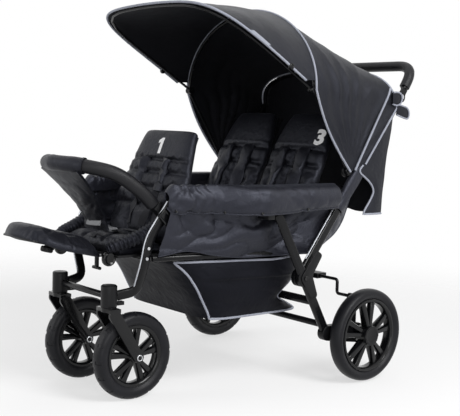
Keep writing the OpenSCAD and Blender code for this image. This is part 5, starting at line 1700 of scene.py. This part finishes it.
bpy.context.view_layer.update()
for label, row in backPads.items():
    makeShoulderStraps(label, *row)
makeSeatHarness()
print("harness made")


# Seat numerals, laid on the headrests

numeralCut = {
    "size": 0.068, "weight": 0.0030, "cuts": 5, "lift": 0.0006, "thick": 0.0006, "angle": 40,
    "spots": {"1": ("Front", 0.001, 0.262), "3": ("RearLeft", 0.084, 0.312)},
    "oneShares": [(-0.07, 0.0), (0.11, 0.0), (0.11, 0.72), (-0.03, 0.72), (-0.21, 0.60), (-0.21, 0.46),
                  (-0.07, 0.52)],
    "oneSlant": -0.05,
}


# The 1 is a bar with a flag, the other is set in plain type
def flatNumeral(sign):
    size = numeralCut["size"]
    if sign == "1":
        points = [(size * (x + numeralCut["oneSlant"] * y), size * y, 0) for x, y in numeralCut["oneShares"]]
        return linked("numeral", points, [tuple(range(len(points)))])
    onlyActive()
    bpy.ops.object.text_add()
    piece = active()
    piece.data.body = sign
    piece.data.size = size
    piece.data.offset = numeralCut["weight"]
    piece.data.align_x = "CENTER"
    bpy.ops.object.convert(target="MESH")
    return active()


def makeNumeral(sign, label, across, up):
    kind, side, body, pad = backPads[label]
    piece = edited(flatNumeral(sign), quads_convert_to_tris={},
                   subdivide=dict(number_cuts=numeralCut["cuts"]))
    piece.name = "numeral" + sign
    for vertex in piece.data.vertices:
        x, y, _ = vertex.co
        vertex.co = onCloth(pad, backCut[kind], side, across + x, up + y, numeralCut["lift"])[0]
    applied(piece, "SOLIDIFY", thickness=numeralCut["thick"], offset=1)
    coat(shaded(piece, numeralCut["angle"]), "print")
    placed(piece, body, "fabric")


for sign, (label, across, up) in numeralCut["spots"].items():
    makeNumeral(sign, label, across, up)
print("numerals laid")


# Small fittings: bumper clips, leg rivets, footrest ratchets, joint plates, hood tabs

fittings = {
    "clipSize": (0.008, 0.030, 0.050), "clipPlace": (0.2045, -0.2790, 0.5010), "clipTilt": 45.0,
    "clipInsets": [(0.0045, 0), (0.0010, -0.0026)], "clipEdge": (0.0016, 50),
    "rivetSize": (0.0045, 0.003), "rivets": [(0.1847, -0.326, 0.3925), (0.1852, -0.3215, 0.4200)],
    "rivetDishShare": 0.1,
    "ratchetSize": (0.020, 0.015), "ratchetPlace": (0.118, -0.408, 0.3905),
    "knobSize": (0.017, 0.016), "knobPlace": (0.0, -0.522, 0.4155),
    "plate": [(0.040, 0.080), (0.064, 0.064), (0.026, 0.006), (0.050, -0.056), (0.028, -0.066),
              (-0.020, 0.000)],
    "plateRound": 0.010, "plateSteps": 4, "plateX": 0.3202, "plateThick": 0.0035, "plateEdge": 0.0016,
    "edgeAngle": 25, "pivot": (0.135, 0.323), "boltSize": (0.008, 0.004), "boltX": 0.3232,
    "tabs": [[(0.488, 0.868), (0.508, 0.869), (0.524, 0.864), (0.530, 0.850), (0.524, 0.836), (0.508, 0.829),
              (0.488, 0.832)],
             [(0.512, 0.832), (0.534, 0.828), (0.556, 0.822), (0.566, 0.806), (0.560, 0.790), (0.540, 0.792),
              (0.508, 0.800)]],
    "tabX": 0.3090, "tabThick": 0.0040, "tabEdge": 0.0008, "tabPipe": 0.0026, "tabSteps": 24,
}


# Flat plate from an outline in the side view, extruded across and rounded
def sidePlate(name, outline, x, thick, side, finish, edge):
    piece = linked(name, [(side * x, y, z) for y, z in outline], [tuple(range(len(outline)))])
    edited(piece, extrude_region_move=dict(TRANSFORM_OT_translate={"value": (side * thick, 0, 0)}),
           select_all=dict(action="SELECT"), normals_make_consistent=dict(inside=False))
    bevelled(piece, edge, fittings["edgeAngle"])
    return coat(shaded(piece, meshCut["smallAngle"]), finish)


# Clip: a block with a sunk window in its outer face
def makeClip(sideName, side):
    piece = added(bpy.ops.mesh.primitive_cube_add, size=1, scale=fittings["clipSize"])
    insetFaces(piece, 0, *fittings["clipInsets"])
    bevelled(piece, *fittings["clipEdge"])
    turn = Matrix.Rotation(radians(fittings["clipTilt"]), 4, "X")
    flip = Matrix.Identity(4) if side > 0 else Matrix.Rotation(pi, 4, "Z")
    move = Matrix.Translation(mirrored(side, fittings["clipPlace"])) @ turn @ flip
    placed(settled(piece, "bumperClip" + sideName, move, "gloss"), "seat_frame", "plastic")


def makeJointPlate(sideName, side):
    cut = fittings
    foldY, foldZ = cut["pivot"]
    corners = [(0, foldY + y, foldZ + z) for y, z in cut["plate"]]
    route = rounded([corners[-1], *corners, corners[0]], cut["plateRound"], cut["plateSteps"])[1:-1]
    plate = sidePlate("jointPlate" + sideName, [(p.y, p.z) for p in route], cut["plateX"], cut["plateThick"],
                      side, "plastic", cut["plateEdge"])
    spot = (side * cut["boltX"], foldY, foldZ)
    bolt = stud("jointBolt" + sideName, spot, (side, 0, 0), cut["boltSize"], "gloss")
    for piece in (plate, bolt):
        placed(piece, "seat_frame", "plastic")


def makeHoodTab(label, side, outline):
    cut = fittings
    tab = sidePlate("hoodTab" + label, outline, cut["tabX"], cut["tabThick"], side, "shell", cut["tabEdge"])
    face = side * (cut["tabX"] + cut["tabThick"])
    line = sampled(lambda t: (face, *threaded(outline, t)), cut["tabSteps"])
    for piece in (tab, tube("hoodTabPipe" + label, line, cut["tabPipe"], "piping")):
        placed(piece, "seat_frame", "fabric")


def makeFittings():
    cut = fittings
    for sideName, side in sides.items():
        makeClip(sideName, side)
        for k, place in enumerate(cut["rivets"]):
            rivet = stud("legRivet" + sideName + str(k), mirrored(side, place), (side, 0, 0),
                         cut["rivetSize"], "steel", cut["rivetDishShare"])
            placed(rivet, "seat_frame", "steel")
        ratchet = stud("footrestRatchet" + sideName, mirrored(side, cut["ratchetPlace"]), (side, 0, 0),
                       cut["ratchetSize"], "gloss")
        placed(ratchet, "seat_frame", "plastic")
        makeJointPlate(sideName, side)
        for k, outline in enumerate(cut["tabs"]):
            makeHoodTab(sideName + str(k), side, outline)
    rise = radians(footCut["rise"])
    under = (0, -sin(rise), -cos(rise))
    knob = stud("footrestKnob", cut["knobPlace"], under, cut["knobSize"], "plastic")
    placed(knob, "footrest", "plastic")


makeFittings()
print("fittings made")
